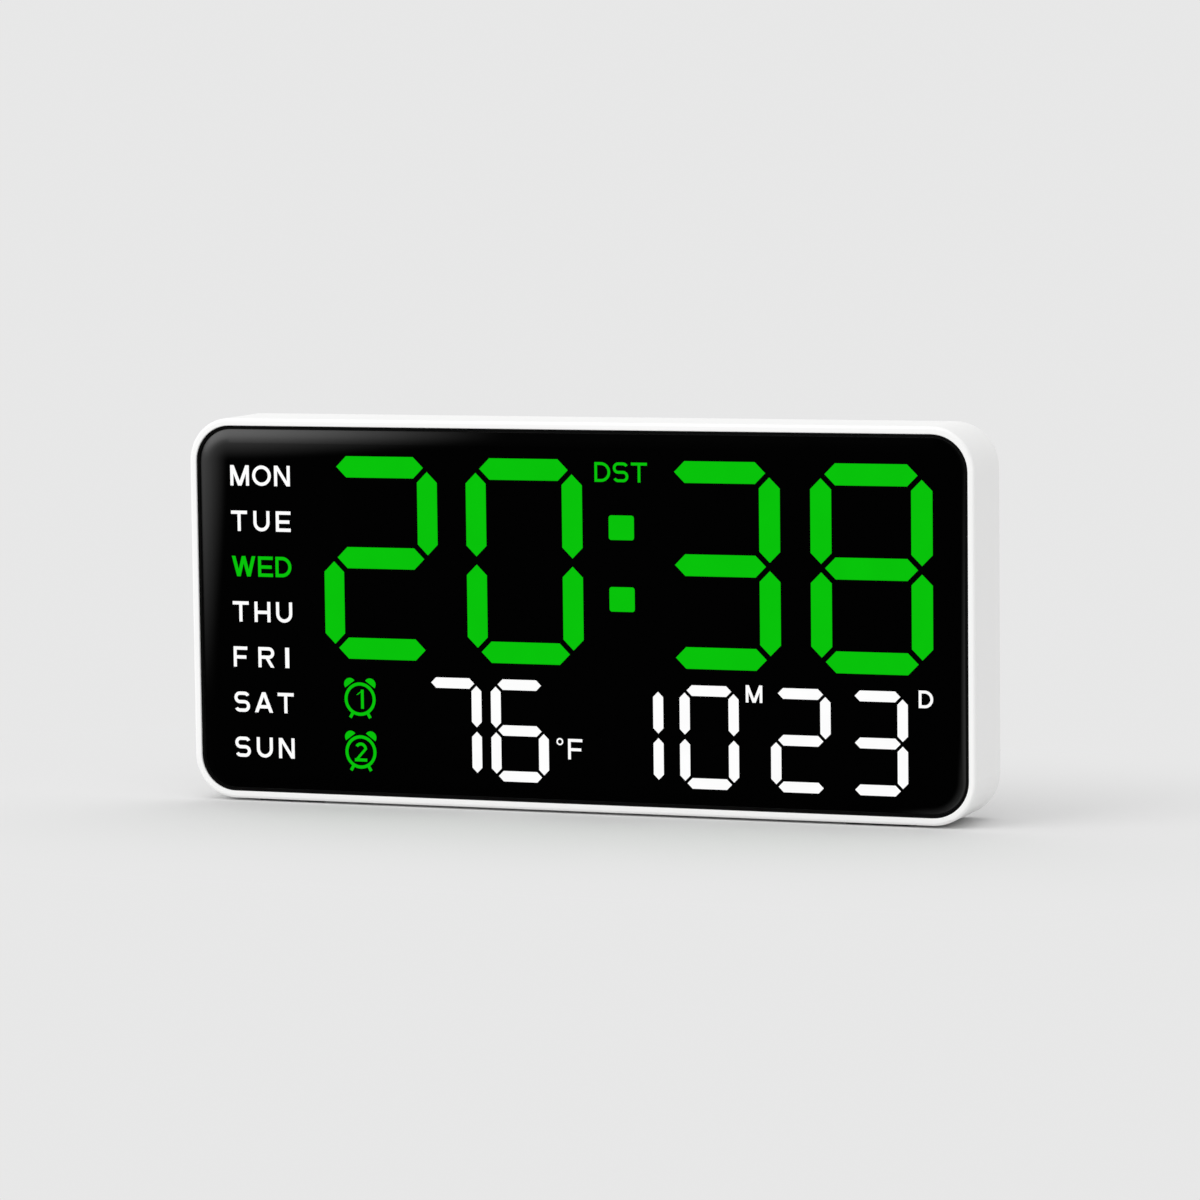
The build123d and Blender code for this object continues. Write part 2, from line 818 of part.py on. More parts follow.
# Front housing: outer shell, ledge for the panel, bosses for the screws
with BuildPart() as front_housing:
    with BuildSketch(front_plane(rear_y)):
        RectangleRounded(body_width, body_height, corner_radius)
    extrude(amount=body_depth)
    fillet(front_housing.edges().group_by(Axis.Y)[0], radius=front_edge_radius)
    fillet(front_housing.edges().group_by(Axis.Y)[-1], radius=rear_edge_radius)
    with BuildSketch(front_plane(ledge_front)):
        RectangleRounded(face_width, face_height, face_radius)
    extrude(amount=ledge_front - front_y, mode=Mode.SUBTRACT)
    rim_edges = front_housing.faces().sort_by(Axis.Y)[0].inner_wires()[0].edges()
    fillet(rim_edges, radius=rim_edge_radius)
    with BuildSketch(front_plane(rear_y)):
        RectangleRounded(inner_width, inner_height, inner_radius)
    extrude(amount=rear_y - ledge_back, mode=Mode.SUBTRACT)
    with BuildSketch(front_plane(ledge_back)):
        with Locations((0, light_box_middle)):
            Rectangle(ledge_opening_width, ledge_opening_height)
    extrude(amount=ledge_thickness, mode=Mode.SUBTRACT)
    with BuildSketch(front_plane(case_boss_top)):
        with Locations(*case_boss_places):
            Circle(boss_radius)
    extrude(amount=case_boss_top - ledge_back)
    with BuildSketch(front_plane(light_box_back)):
        with Locations(*board_boss_places):
            Circle(boss_radius)
    extrude(amount=light_box_back - ledge_back)
    with BuildSketch(front_plane(case_boss_top)):
        with Locations(*case_boss_places):
            Circle(screw_radius + thread_clearance)
    extrude(amount=case_boss_top - ledge_back, mode=Mode.SUBTRACT)
    with BuildSketch(front_plane(light_box_back)):
        with Locations(*board_boss_places):
            Circle(screw_radius + thread_clearance)
    extrude(amount=light_box_back - ledge_back, mode=Mode.SUBTRACT)
    with BuildSketch(Plane.XY.offset(foot_height)):
        with Locations(*foot_places):
            RectangleRounded(foot_length, foot_width, foot_radius)
    extrude(amount=foot_recess, mode=Mode.SUBTRACT)
save(front_housing, "front_housing")

# Foot pads
with BuildPart() as foot_pads:
    with BuildSketch(Plane.XY):
        with Locations(*foot_places):
            RectangleRounded(foot_length, foot_width, foot_radius)
    extrude(amount=foot_height + foot_recess)
save(foot_pads, "foot_pads")

# Front panel: one sheet whose edge falls away to a small bevel, with a window for every segment
panel_side = panel_width / 2
panel_rise = panel_height / 2
edge_section = Plane(origin=(panel_side, front_y, centre_height), x_dir=(1, 0, 0), z_dir=(0, 0, 1))
with BuildSketch(edge_section) as fall_section:
    with BuildLine():
        fall_arc = TangentArc((-panel_fall_width, 0), (-panel_bevel, panel_fall), tangent=(1, 0))
        Polyline(
            fall_arc @ 1,
            (0, panel_fall + panel_bevel),
            (cut_overrun, panel_fall + panel_bevel),
            (cut_overrun, -cut_overrun),
            (-panel_fall_width, -cut_overrun),
            fall_arc @ 0,
        )
    make_face()

with BuildPart() as front_panel:
    with BuildSketch(front_plane(panel_back)):
        RectangleRounded(panel_width, panel_height, panel_radius)
    extrude(amount=panel_thickness)
    for up in (1, -1):
        with BuildLine(front_plane(front_y)) as panel_edge:
            FilletPolyline(
                (panel_side, 0),
                (panel_side, up * panel_rise),
                (-panel_side, up * panel_rise),
                (-panel_side, 0),
                radius=panel_radius,
            )
        sweep(sections=fall_section.sketch, path=panel_edge.line, mode=Mode.SUBTRACT)
    for shapes in window_shapes:
        extrude(shapes.sketch, amount=panel_thickness, mode=Mode.SUBTRACT)
    for shapes in legend_shapes:
        extrude(shapes.sketch, amount=legend_depth, mode=Mode.SUBTRACT)
save(front_panel, "front_panel")

# Gasket at the foot of the groove round the panel
with BuildPart() as panel_gasket:
    with BuildSketch(front_plane(ledge_front)):
        RectangleRounded(
            face_width - 2 * gasket_clearance,
            face_height - 2 * gasket_clearance,
            face_radius - gasket_clearance,
        )
        RectangleRounded(
            panel_width + 2 * gasket_clearance,
            panel_height + 2 * gasket_clearance,
            panel_radius + gasket_clearance,
            mode=Mode.SUBTRACT,
        )
    extrude(amount=ledge_front - front_y - gasket_depth)
save(panel_gasket, "panel_gasket")

# Light guides that fill the windows, and the legends in the face of the panel
guide_shapes = {
    "time_segments_lit": time_lit_shapes,
    "time_segments_unlit": time_dark_shapes,
    "colon_dots": colon_shapes,
    "temperature_segments": temperature_shapes,
    "date_segments": date_shapes,
    "small_segments_unlit": small_dark_shapes,
}
for name, shapes in guide_shapes.items():
    with BuildPart() as guides:
        extrude(shapes.sketch, amount=panel_thickness)
    save(guides, name)

inlay_shapes = {
    "weekday_legends": weekday_shapes,
    "today_legend": today_shapes,
    "dst_legend": dst_shapes,
    "alarm_icons": alarm_shapes,
    "unit_legends": unit_shapes,
}
for name, shapes in inlay_shapes.items():
    with BuildPart() as inlay:
        extrude(shapes.sketch, amount=legend_depth)
    save(inlay, name)

# Adhesive tape ring between the panel and the ledge
with BuildPart() as panel_tape:
    with BuildSketch(front_plane(ledge_front)):
        RectangleRounded(
            panel_width - 2 * tape_margin, panel_height - 2 * tape_margin, panel_radius - tape_margin
        )
        with Locations((0, light_box_middle)):
            Rectangle(ledge_opening_width, ledge_opening_height, mode=Mode.SUBTRACT)
    extrude(amount=tape_thickness)
save(panel_tape, "panel_tape")

# Diffuser film between the panel and the light box
with BuildPart() as diffuser_film:
    with BuildSketch(front_plane(light_box_front)):
        with Locations((0, light_box_middle)):
            Rectangle(light_box_width - 2 * film_margin, light_box_height - 2 * film_margin)
    extrude(amount=film_thickness)
save(diffuser_film, "diffuser_film")

# Light box: a thin-walled cavity behind every segment and every group of legends
legend_windows = [
    (weekday_left, base, weekday_right, base + weekday_cap) for base in weekday_bases
]
legend_windows.append((dst_left, dst_bottom, dst_left + dst_width, dst_bottom + dst_cap))
mark_width = unit_cap * letter_width_shares["D"]
for left in (month_mark_left, day_mark_left):
    legend_windows.append((left, unit_bottom, left + mark_width, unit_bottom + unit_cap))
degree_right = degree_left + degree_cap * letter_width_shares["F"]
legend_windows.append((degree_left, degree_bottom, degree_right, degree_bottom + degree_cap))


def draw_legend_windows(margin):
    """Openings behind the legends and the sensors, widened by a margin, added to the sketch in hand."""
    for left, bottom, right, top in legend_windows:
        draw_bar(left - margin, bottom - margin, right + margin, top + margin)
    with Locations(*alarm_centres):
        Circle(alarm_radius + margin)
    with Locations(receiver_place, sensor_place):
        Rectangle(sensor_window + 2 * margin, sensor_window + 2 * margin)


with BuildPart() as light_box:
    with BuildSketch(front_plane(light_box_front + light_box_plate)):
        with Locations((0, light_box_middle)):
            Rectangle(light_box_width, light_box_height)
    extrude(amount=light_box_plate)
    with BuildSketch(front_plane(light_box_back)):
        with Locations((0, light_box_middle)):
            Rectangle(light_box_width, light_box_height)
            Rectangle(
                light_box_width - 2 * light_box_plate,
                light_box_height - 2 * light_box_plate,
                mode=Mode.SUBTRACT,
            )
        for place in time_centres:
            draw_segments(segment_shares, walled(time_digit), place)
        for place in temperature_centres + date_centres:
            draw_segments(segment_shares, walled(small_digit), place)
        with Locations(*colon_places):
            Rectangle(colon_dot_width + 2 * light_box_wall, colon_dot_height + 2 * light_box_wall)
        draw_legend_windows(window_margin + light_box_wall)
    extrude(amount=light_box_depth)
    for shapes in window_shapes:
        extrude(shapes.sketch, amount=-(film_thickness + light_box_depth), mode=Mode.SUBTRACT)
    with BuildSketch(front_plane(light_box_back)):
        draw_legend_windows(window_margin)
    extrude(amount=light_box_depth, mode=Mode.SUBTRACT)
save(light_box, "light_box")

# Display board, notched at its corners for the case bosses
with BuildPart() as display_board:
    with BuildSketch(front_plane(board_back)):
        with Locations((0, light_box_middle)):
            Rectangle(board_width, light_box_height)
        notch_x = board_width / 2
        notch_z = light_box_height / 2
        notch_width = (board_width - light_box_width) / 2
        with Locations((0, light_box_middle)):
            with GridLocations(2 * notch_x, 2 * notch_z, 2, 2):
                Rectangle(2 * notch_width, 2 * board_notch_height, mode=Mode.SUBTRACT)
        with Locations(*board_boss_places):
            Circle(screw_radius + hole_clearance, mode=Mode.SUBTRACT)
    extrude(amount=board_thickness)
save(display_board, "display_board")

with BuildPart() as display_board_screws:
    with BuildSketch(front_plane(board_back + screw_head_height)):
        with Locations(*board_boss_places):
            Circle(screw_head_radius)
    extrude(amount=screw_head_height)
    with BuildSketch(front_plane(board_back)):
        with Locations(*board_boss_places):
            Circle(screw_radius)
    extrude(amount=board_screw_length)
    with BuildSketch(front_plane(board_back + screw_head_height)):
        draw_screw_slots(board_boss_places)
    extrude(amount=screw_slot_depth, mode=Mode.SUBTRACT)
save(display_board_screws, "display_board_screws")

# Light-emitting diodes: two behind each time segment, one behind each small segment or legend
time_led_places = []
for place in time_centres:
    for middle, length, turn in segment_places(segment_shares, time_digit, place):
        for side in (-1, 1):
            step = side * length / 4
            offset_x, offset_z = (0, step) if turn else (step, 0)
            time_led_places.append((middle[0] + offset_x, middle[1] + offset_z))
small_led_places = []
for place in temperature_centres + date_centres:
    for middle, length, turn in segment_places(segment_shares, small_digit, place):
        small_led_places.append(middle)
window_middles = [((left + right) / 2, (low + high) / 2) for left, low, right, high in legend_windows]
today_led = window_middles[today_row]
weekday_leds = window_middles[:today_row] + window_middles[today_row + 1 : weekday_rows]
dst_led = window_middles[weekday_rows]
mark_leds = window_middles[weekday_rows + 1 :]

with BuildPart() as green_leds:
    with BuildSketch(front_plane(light_box_back)):
        with Locations(*time_led_places, *colon_places, today_led, dst_led, *alarm_centres):
            Rectangle(time_led_length, time_led_width)
    extrude(amount=led_height)
save(green_leds, "green_leds")

with BuildPart() as white_leds:
    with BuildSketch(front_plane(light_box_back)):
        with Locations(*small_led_places, *weekday_leds, *mark_leds):
            Rectangle(small_led_length, small_led_width)
    extrude(amount=led_height)
save(white_leds, "white_leds")

with BuildPart() as ir_receiver:
    with BuildSketch(front_plane(light_box_back)):
        with Locations(receiver_place):
            Rectangle(receiver_width, receiver_height)
    extrude(amount=receiver_depth)
    with BuildSketch(front_plane(light_box_back - receiver_depth)):
        with Locations(receiver_place):
            Circle(receiver_lens_radius)
    extrude(amount=receiver_lens_radius)
    fillet(ir_receiver.edges().group_by(Axis.Y)[0], radius=receiver_lens_radius / 2)
save(ir_receiver, "ir_receiver")

with BuildPart() as light_sensor:
    with BuildSketch(front_plane(light_box_back)):
        with Locations(sensor_place):
            Rectangle(sensor_length, sensor_width)
    extrude(amount=sensor_depth)
save(light_sensor, "light_sensor")

# Driver chips on the back of the display board
driver_places = [(-driver_spacing / 2, 0), (driver_spacing / 2, 0)]
with BuildPart() as led_drivers:
    with BuildSketch(front_plane(board_back + chip_height)):
        with Locations(*driver_places):
            Rectangle(driver_length, driver_width)
    extrude(amount=chip_height)
    with BuildSketch(front_plane(board_back + chip_lead_height)):
        with Locations(*driver_places):
            with GridLocations(chip_lead_pitch, 0, chip_lead_count, 1):
                Rectangle(chip_lead_width, driver_width + 2 * chip_lead_length)
    extrude(amount=chip_lead_height)
save(led_drivers, "led_drivers")

# Plug-in link between the display board and the control board
link_place = (0, -link_drop)
link_slot_length = link_pin_count * link_pin_pitch
link_length = link_slot_length + 2 * link_wall
link_header_front = control_front - link_base
with BuildPart() as link_socket:
    with BuildSketch(front_plane(link_header_front - link_socket_gap)):
        with Locations(link_place):
            Rectangle(link_length, link_width)
            Rectangle(link_slot_length, link_slot_width, mode=Mode.SUBTRACT)
    extrude(amount=link_header_front - link_socket_gap - board_back)
save(link_socket, "link_socket")

with BuildPart() as link_header:
    with BuildSketch(front_plane(control_front)):
        with Locations(link_place):
            Rectangle(link_length, link_width)
    extrude(amount=link_base)
    with BuildSketch(front_plane(link_header_front)):
        with Locations(link_place):
            with GridLocations(link_pin_pitch, 0, link_pin_count, 1):
                Rectangle(link_pin_side, link_pin_side)
    extrude(amount=link_pin_depth)
save(link_header, "link_header")

# Control board and its parts
with BuildPart() as control_board:
    with BuildSketch(front_plane(control_back)):
        Rectangle(control_width, control_height)
        with Locations(*control_boss_places):
            Circle(screw_radius + hole_clearance, mode=Mode.SUBTRACT)
    extrude(amount=board_thickness)
save(control_board, "control_board")

with BuildPart() as control_board_screws:
    with BuildSketch(front_plane(control_front)):
        with Locations(*control_boss_places):
            Circle(screw_head_radius)
    extrude(amount=screw_head_height)
    with BuildSketch(front_plane(control_front + control_screw_length)):
        with Locations(*control_boss_places):
            Circle(screw_radius)
    extrude(amount=control_screw_length)
    with BuildSketch(front_plane(control_front - screw_head_height + screw_slot_depth)):
        draw_screw_slots(control_boss_places)
    extrude(amount=screw_slot_depth, mode=Mode.SUBTRACT)
save(control_board_screws, "control_board_screws")

with BuildPart() as microcontroller:
    with BuildSketch(front_plane(control_front)):
        with Locations((0, chip_rise)):
            Rectangle(chip_side, chip_side)
    extrude(amount=chip_height)
    with BuildSketch(front_plane(control_front)):
        with Locations((0, chip_rise)):
            with GridLocations(chip_lead_pitch, 0, chip_lead_count, 1):
                Rectangle(chip_lead_width, chip_side + 2 * chip_lead_length)
            with GridLocations(0, chip_lead_pitch, 1, chip_lead_count):
                Rectangle(chip_side + 2 * chip_lead_length, chip_lead_width)
    extrude(amount=chip_lead_height)
save(microcontroller, "microcontroller")

with BuildPart() as clock_crystal:
    with BuildSketch(front_plane(control_front)):
        with Locations((crystal_offset, chip_rise)):
            SlotOverall(crystal_length, crystal_width)
    extrude(amount=crystal_height)
save(clock_crystal, "clock_crystal")

with BuildPart() as tact_switches:
    with BuildSketch(front_plane(switch_top)):
        with Locations(*key_places):
            Rectangle(switch_side, switch_side)
    extrude(amount=switch_height)
    with BuildSketch(front_plane(switch_top)):
        with Locations(*key_places):
            Circle(plunger_radius + plunger_clearance)
    extrude(amount=plunger_seat + key_travel + switch_bore_spare, mode=Mode.SUBTRACT)
save(tact_switches, "tact_switches")

with BuildPart() as buzzer:
    with BuildSketch(front_plane(control_back + buzzer_height)):
        with Locations(buzzer_place):
            Circle(buzzer_radius)
    extrude(amount=buzzer_height)
    with BuildSketch(front_plane(control_back + buzzer_height)):
        with Locations(buzzer_place):
            Circle(buzzer_port_radius)
    extrude(amount=buzzer_height / 2, mode=Mode.SUBTRACT)
save(buzzer, "buzzer")

with BuildPart() as battery_holder:
    with BuildSketch(front_plane(cell_back)):
        Circle(holder_radius)
    extrude(amount=holder_base + cell_thickness)
    with BuildSketch(front_plane(cell_back)):
        Circle(cell_radius + cell_clearance)
    extrude(amount=cell_thickness, mode=Mode.SUBTRACT)
save(battery_holder, "battery_holder")

with BuildPart() as coin_cell:
    with BuildSketch(front_plane(cell_back)):
        Circle(cell_radius)
    extrude(amount=cell_thickness)
    fillet(coin_cell.edges().group_by(Axis.Y)[0], radius=cell_clearance)
save(coin_cell, "coin_cell")

with BuildPart() as battery_clip:
    with BuildSketch(front_plane(cell_back + clip_thickness)):
        Rectangle(2 * (holder_radius + clip_thickness), clip_width)
    extrude(amount=clip_thickness)
    with BuildSketch(front_plane(cell_back)):
        with GridLocations(2 * holder_radius + clip_thickness, 0, 2, 1):
            Rectangle(clip_thickness, clip_width)
    extrude(amount=cell_back - control_back)
save(battery_clip, "battery_clip")

inlet_mouth = control_back + inlet_length
with BuildPart() as usb_shell:
    with BuildSketch(front_plane(inlet_mouth)):
        with Locations(inlet_place):
            RectangleRounded(inlet_width, inlet_height, inlet_height / 3)
    extrude(amount=inlet_length)
    with BuildSketch(front_plane(inlet_mouth)):
        with Locations(inlet_place):
            RectangleRounded(
                inlet_width - 2 * inlet_shell,
                inlet_height - 2 * inlet_shell,
                inlet_height / 3 - inlet_shell,
            )
    extrude(amount=inlet_length - inlet_base, mode=Mode.SUBTRACT)
save(usb_shell, "usb_shell")

with BuildPart() as usb_tongue:
    with BuildSketch(front_plane(inlet_mouth - tongue_recess)):
        with Locations(inlet_place):
            Rectangle(tongue_width, tongue_height)
    extrude(amount=inlet_length - inlet_base - tongue_recess)
save(usb_tongue, "usb_tongue")

with BuildPart() as thermistor:
    with BuildSketch(front_plane(control_back + bead_lead_length)):
        with Locations((0, bead_z)):
            with GridLocations(bead_lead_pitch, 0, 2, 1):
                Circle(bead_lead_radius)
    extrude(amount=bead_lead_length)
    with Locations((0, control_back + bead_lead_length, centre_height + bead_z)):
        Sphere(bead_radius)
save(thermistor, "thermistor")

# Rear cover: plate with a skirt, stand-offs, leg trays, battery well and openings
cover_hinge_ends = [
    tray_middle_z + (tray_height + hinge_block) / 2,
    tray_middle_z - (tray_height + hinge_block) / 2,
]
pin_length = leg_height + 2 * (leg_clearance + hinge_pin_seat)
pin_bottom = centre_height + leg_bottom - leg_clearance - hinge_pin_seat
with BuildPart() as rear_cover:
    with BuildSketch(front_plane(rear_y)):
        RectangleRounded(cover_width, cover_height, cover_radius)
    extrude(amount=cover_thickness)
    chamfer(rear_cover.edges().group_by(Axis.Y)[-1], length=cover_edge_chamfer)
    with BuildSketch(front_plane(cover_inner)):
        RectangleRounded(cover_width, cover_height, cover_radius)
        RectangleRounded(
            cover_width - 2 * skirt_thickness,
            cover_height - 2 * skirt_thickness,
            cover_radius - skirt_thickness,
            mode=Mode.SUBTRACT,
        )
    extrude(amount=skirt_depth)
    with BuildSketch(front_plane(cover_inner)):
        with Locations(*case_boss_places):
            Circle(standoff_radius)
    extrude(amount=cover_inner - case_boss_top)
    with BuildSketch(front_plane(cover_inner)):
        with Locations(*control_boss_places):
            Circle(boss_radius)
    extrude(amount=standoff_height)
    with BuildSketch(front_plane(cover_inner)):
        for side in (-1, 1):
            with Locations((side * tray_middle_x, tray_middle_z)):
                Rectangle(tray_width + 2 * leg_tray_wall, tray_height + 2 * leg_tray_wall)
            with Locations((side * (tray_inner_x - finger_notch_width / 2), tray_middle_z)):
                Rectangle(
                    finger_notch_width + 2 * leg_tray_wall, finger_notch_height + 2 * leg_tray_wall
                )
            with Locations(*[(side * hinge_x, z) for z in cover_hinge_ends]):
                Rectangle(hinge_block_width, hinge_block)
    extrude(amount=cover_inner - tray_floor + leg_tray_wall)
    with BuildSketch(front_plane(rear_y)):
        for side in (-1, 1):
            with Locations((side * tray_middle_x, tray_middle_z)):
                Rectangle(tray_width, tray_height)
            with Locations((side * (tray_inner_x - finger_notch_width / 2), tray_middle_z)):
                Rectangle(finger_notch_width, finger_notch_height)
    extrude(amount=tray_depth, mode=Mode.SUBTRACT)
    with BuildSketch(Plane.XY.offset(pin_bottom)):
        with Locations((-hinge_x, hinge_y), (hinge_x, hinge_y)):
            Circle(hinge_pin_radius + thread_clearance)
    extrude(amount=pin_length, mode=Mode.SUBTRACT)
    with BuildSketch(front_plane(cover_inner)):
        Rectangle(well_outer_width, well_outer_height)
    extrude(amount=cover_inner - well_front)
    with BuildSketch(front_plane(rear_y)):
        Rectangle(well_side, well_side)
    extrude(amount=rear_y - well_front, mode=Mode.SUBTRACT)
    with BuildSketch(front_plane(rear_y)):
        RectangleRounded(
            door_width + 2 * door_clearance, door_height + 2 * door_clearance, door_radius + door_clearance
        )
    extrude(amount=door_thickness, mode=Mode.SUBTRACT)
    with BuildSketch(front_plane(door_front)):
        with Locations(*door_screw_places):
            Circle(door_screw_radius + door_screw_clearance)
    extrude(amount=door_screw_length, mode=Mode.SUBTRACT)
    with BuildSketch(front_plane(rear_y)):
        with Locations(*case_boss_places):
            Circle(screw_head_radius + hole_clearance)
    extrude(amount=counterbore_depth, mode=Mode.SUBTRACT)
    with BuildSketch(front_plane(rear_y)):
        with Locations(*case_boss_places):
            Circle(screw_radius + hole_clearance)
    extrude(amount=rear_y - case_boss_top, mode=Mode.SUBTRACT)
    with BuildSketch(front_plane(cover_inner)):
        with Locations(*control_boss_places):
            Circle(screw_radius + thread_clearance)
    extrude(amount=standoff_height, mode=Mode.SUBTRACT)
    with BuildSketch(front_plane(rear_y)):
        with Locations((0, key_rise)):
            SlotOverall(key_well_length, key_well_width)
    extrude(amount=key_well_depth, mode=Mode.SUBTRACT)
    with BuildSketch(front_plane(rear_y)):
        with Locations(*key_places):
            SlotOverall(key_length + 2 * key_clearance, key_width + 2 * key_clearance)
        for side in (-1, 1):
            with Locations((side * keyhole_spacing / 2, keyhole_rise)):
                Circle(keyhole_entry_radius)
            draw_bar(
                side * keyhole_spacing / 2 - keyhole_slot_radius,
                keyhole_rise,
                side * keyhole_spacing / 2 + keyhole_slot_radius,
                keyhole_rise + keyhole_slot_travel,
            )
            with Locations((side * keyhole_spacing / 2, keyhole_rise + keyhole_slot_travel)):
                Circle(keyhole_slot_radius)
            with Locations((side * (cover_width / 2 - vent_side_margin), vent_rise)):
                with GridLocations(vent_pitch, 0, vent_count, 1):
                    SlotOverall(vent_height, vent_width, rotation=90)
        with Locations((0, low_vent_margin - cover_height / 2)):
            with GridLocations(vent_pitch, 0, low_vent_count, 1):
                SlotOverall(low_vent_height, vent_width, rotation=90)
        with Locations(inlet_place):
            SlotOverall(inlet_opening_width, inlet_opening_height)
        with Locations(buzzer_place):
            Circle(sound_hole_radius)
            for ring in range(1, sound_ring_count + 1):
                with PolarLocations(ring * sound_ring_pitch, ring * sound_ring_step):
                    Circle(sound_hole_radius)
    extrude(amount=cover_thickness, mode=Mode.SUBTRACT)
save(rear_cover, "rear_cover")

case_screw_seat = rear_y - counterbore_depth
with BuildPart() as case_screws:
    with BuildSketch(front_plane(case_screw_seat + screw_head_height)):
        with Locations(*case_boss_places):
            Circle(screw_head_radius)
    extrude(amount=screw_head_height)
    with BuildSketch(front_plane(case_screw_seat)):
        with Locations(*case_boss_places):
            Circle(screw_radius)
    extrude(amount=case_screw_length)
    with BuildSketch(front_plane(case_screw_seat + screw_head_height)):
        draw_screw_slots(case_boss_places)
    extrude(amount=screw_slot_depth, mode=Mode.SUBTRACT)
save(case_screws, "case_screws")

# Keys, each with a flange behind the cover, and the switch plunger that it pushes
for name, place in zip(key_names, key_places):
    with BuildPart() as key:
        with BuildSketch(front_plane(key_top)):
            with Locations(place):
                SlotOverall(key_length, key_width)
        extrude(amount=key_top - key_flange_back)
        fillet(key.edges().group_by(Axis.Y)[-1], radius=key_edge_radius)
        with BuildSketch(front_plane(key_flange_back)):
            with Locations(place):
                SlotOverall(key_length + 2 * key_flange, key_width + 2 * key_flange)
        extrude(amount=key_flange)
    save(key, f"{name}_key")
    with BuildPart() as plunger:
        with BuildSketch(front_plane(key_flange_front)):
            with Locations(place):
                Circle(plunger_radius)
        extrude(amount=key_flange_front - switch_top + plunger_seat)
    save(plunger, f"{name}_plunger")

# Battery door with grip ribs and its two screws
with BuildPart() as battery_door:
    with BuildSketch(front_plane(rear_y)):
        RectangleRounded(door_width, door_height, door_radius)
    extrude(amount=door_thickness)
    with BuildSketch(front_plane(rear_y)):
        with Locations(*door_screw_places):
            Circle(door_screw_head_radius + hole_clearance)
    extrude(amount=door_screw_recess, mode=Mode.SUBTRACT)
    with BuildSketch(front_plane(rear_y)):
        with Locations(*door_screw_places):
            Circle(door_screw_radius + thread_clearance)
    extrude(amount=door_thickness, mode=Mode.SUBTRACT)
    with BuildSketch(front_plane(rear_y)):
        with GridLocations(0, door_grip_pitch, 1, door_grip_count):
            SlotOverall(door_width / 2, door_grip_width)
    extrude(amount=door_grip_depth, mode=Mode.SUBTRACT)
save(battery_door, "battery_door")

with BuildPart() as battery_door_screws:
    with BuildSketch(front_plane(door_screw_seat + door_screw_head_height)):
        with Locations(*door_screw_places):
            Circle(door_screw_head_radius)
    extrude(amount=door_screw_head_height)
    with BuildSketch(front_plane(door_screw_seat)):
        with Locations(*door_screw_places):
            Circle(door_screw_radius)
    extrude(amount=door_screw_length)
    with BuildSketch(front_plane(door_screw_seat + door_screw_head_height)):
        draw_screw_slots(door_screw_places)
    extrude(amount=door_screw_head_height / 2, mode=Mode.SUBTRACT)
save(battery_door_screws, "battery_door_screws")

# Fold-out legs and their hinge pins
for side, name in ((-1, "left"), (1, "right")):
    with BuildPart() as leg:
        with BuildSketch(Plane.XY.offset(centre_height + leg_bottom)):
            with Locations((side * hinge_x, hinge_y)):
                Circle(barrel_radius)
            with Locations((side * (hinge_x - leg_reach / 2), hinge_y)):
                Rectangle(leg_reach, leg_thickness)
            with Locations((side * hinge_x, hinge_y)):
                Circle(hinge_pin_radius + hinge_clearance, mode=Mode.SUBTRACT)
            for groove in range(1, leg_grip_count + 1):
                groove_x = hinge_x - leg_reach + groove * leg_grip_pitch
                with Locations((side * groove_x, leg_face - leg_grip_depth / 2)):
                    Rectangle(leg_grip_width, leg_grip_depth, mode=Mode.SUBTRACT)
        extrude(amount=leg_height)
    save(leg, f"stand_leg_{name}")
    with BuildPart() as pin:
        with BuildSketch(Plane.XY.offset(pin_bottom)):
            with Locations((side * hinge_x, hinge_y)):
                Circle(hinge_pin_radius)
        extrude(amount=pin_length)
    save(pin, f"stand_pin_{name}")

print("case", round(body_width, 2), "by", round(body_depth, 2), "by", round(foot_height + body_height, 2))
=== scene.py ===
"""Looks of the digital wall clock: finishes of its pieces, printed key marks, floor, light and camera."""

import json
from math import cos, pi, radians, sin

import bmesh
import bpy
from mathutils import Matrix, Vector


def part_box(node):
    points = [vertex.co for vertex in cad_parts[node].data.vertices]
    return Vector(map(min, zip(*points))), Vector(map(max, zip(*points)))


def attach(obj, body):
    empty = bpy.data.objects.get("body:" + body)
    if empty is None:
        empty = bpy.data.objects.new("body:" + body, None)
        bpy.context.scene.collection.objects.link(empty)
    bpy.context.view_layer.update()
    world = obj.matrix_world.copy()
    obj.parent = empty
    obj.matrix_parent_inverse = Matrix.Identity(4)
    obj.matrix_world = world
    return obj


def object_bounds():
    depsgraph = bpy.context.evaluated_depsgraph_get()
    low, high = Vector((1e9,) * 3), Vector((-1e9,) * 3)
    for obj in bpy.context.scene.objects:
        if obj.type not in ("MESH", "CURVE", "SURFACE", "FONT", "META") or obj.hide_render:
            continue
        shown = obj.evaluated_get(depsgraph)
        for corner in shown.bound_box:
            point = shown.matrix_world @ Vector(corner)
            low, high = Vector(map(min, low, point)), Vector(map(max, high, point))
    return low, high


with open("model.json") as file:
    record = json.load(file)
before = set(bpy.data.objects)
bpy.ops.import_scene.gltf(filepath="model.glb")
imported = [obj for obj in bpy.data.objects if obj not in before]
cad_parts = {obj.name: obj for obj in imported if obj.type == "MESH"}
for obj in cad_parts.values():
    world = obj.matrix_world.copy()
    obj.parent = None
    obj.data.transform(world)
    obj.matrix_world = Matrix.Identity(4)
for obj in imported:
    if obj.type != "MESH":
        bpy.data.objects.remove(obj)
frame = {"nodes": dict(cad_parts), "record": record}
cad_low, cad_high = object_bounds()

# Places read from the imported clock, in metres
millimetre = 0.001
panel_low, panel_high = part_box("front_panel")
panel_middle = (panel_low + panel_high) / 2
panel_half = (panel_high - panel_low) / 2

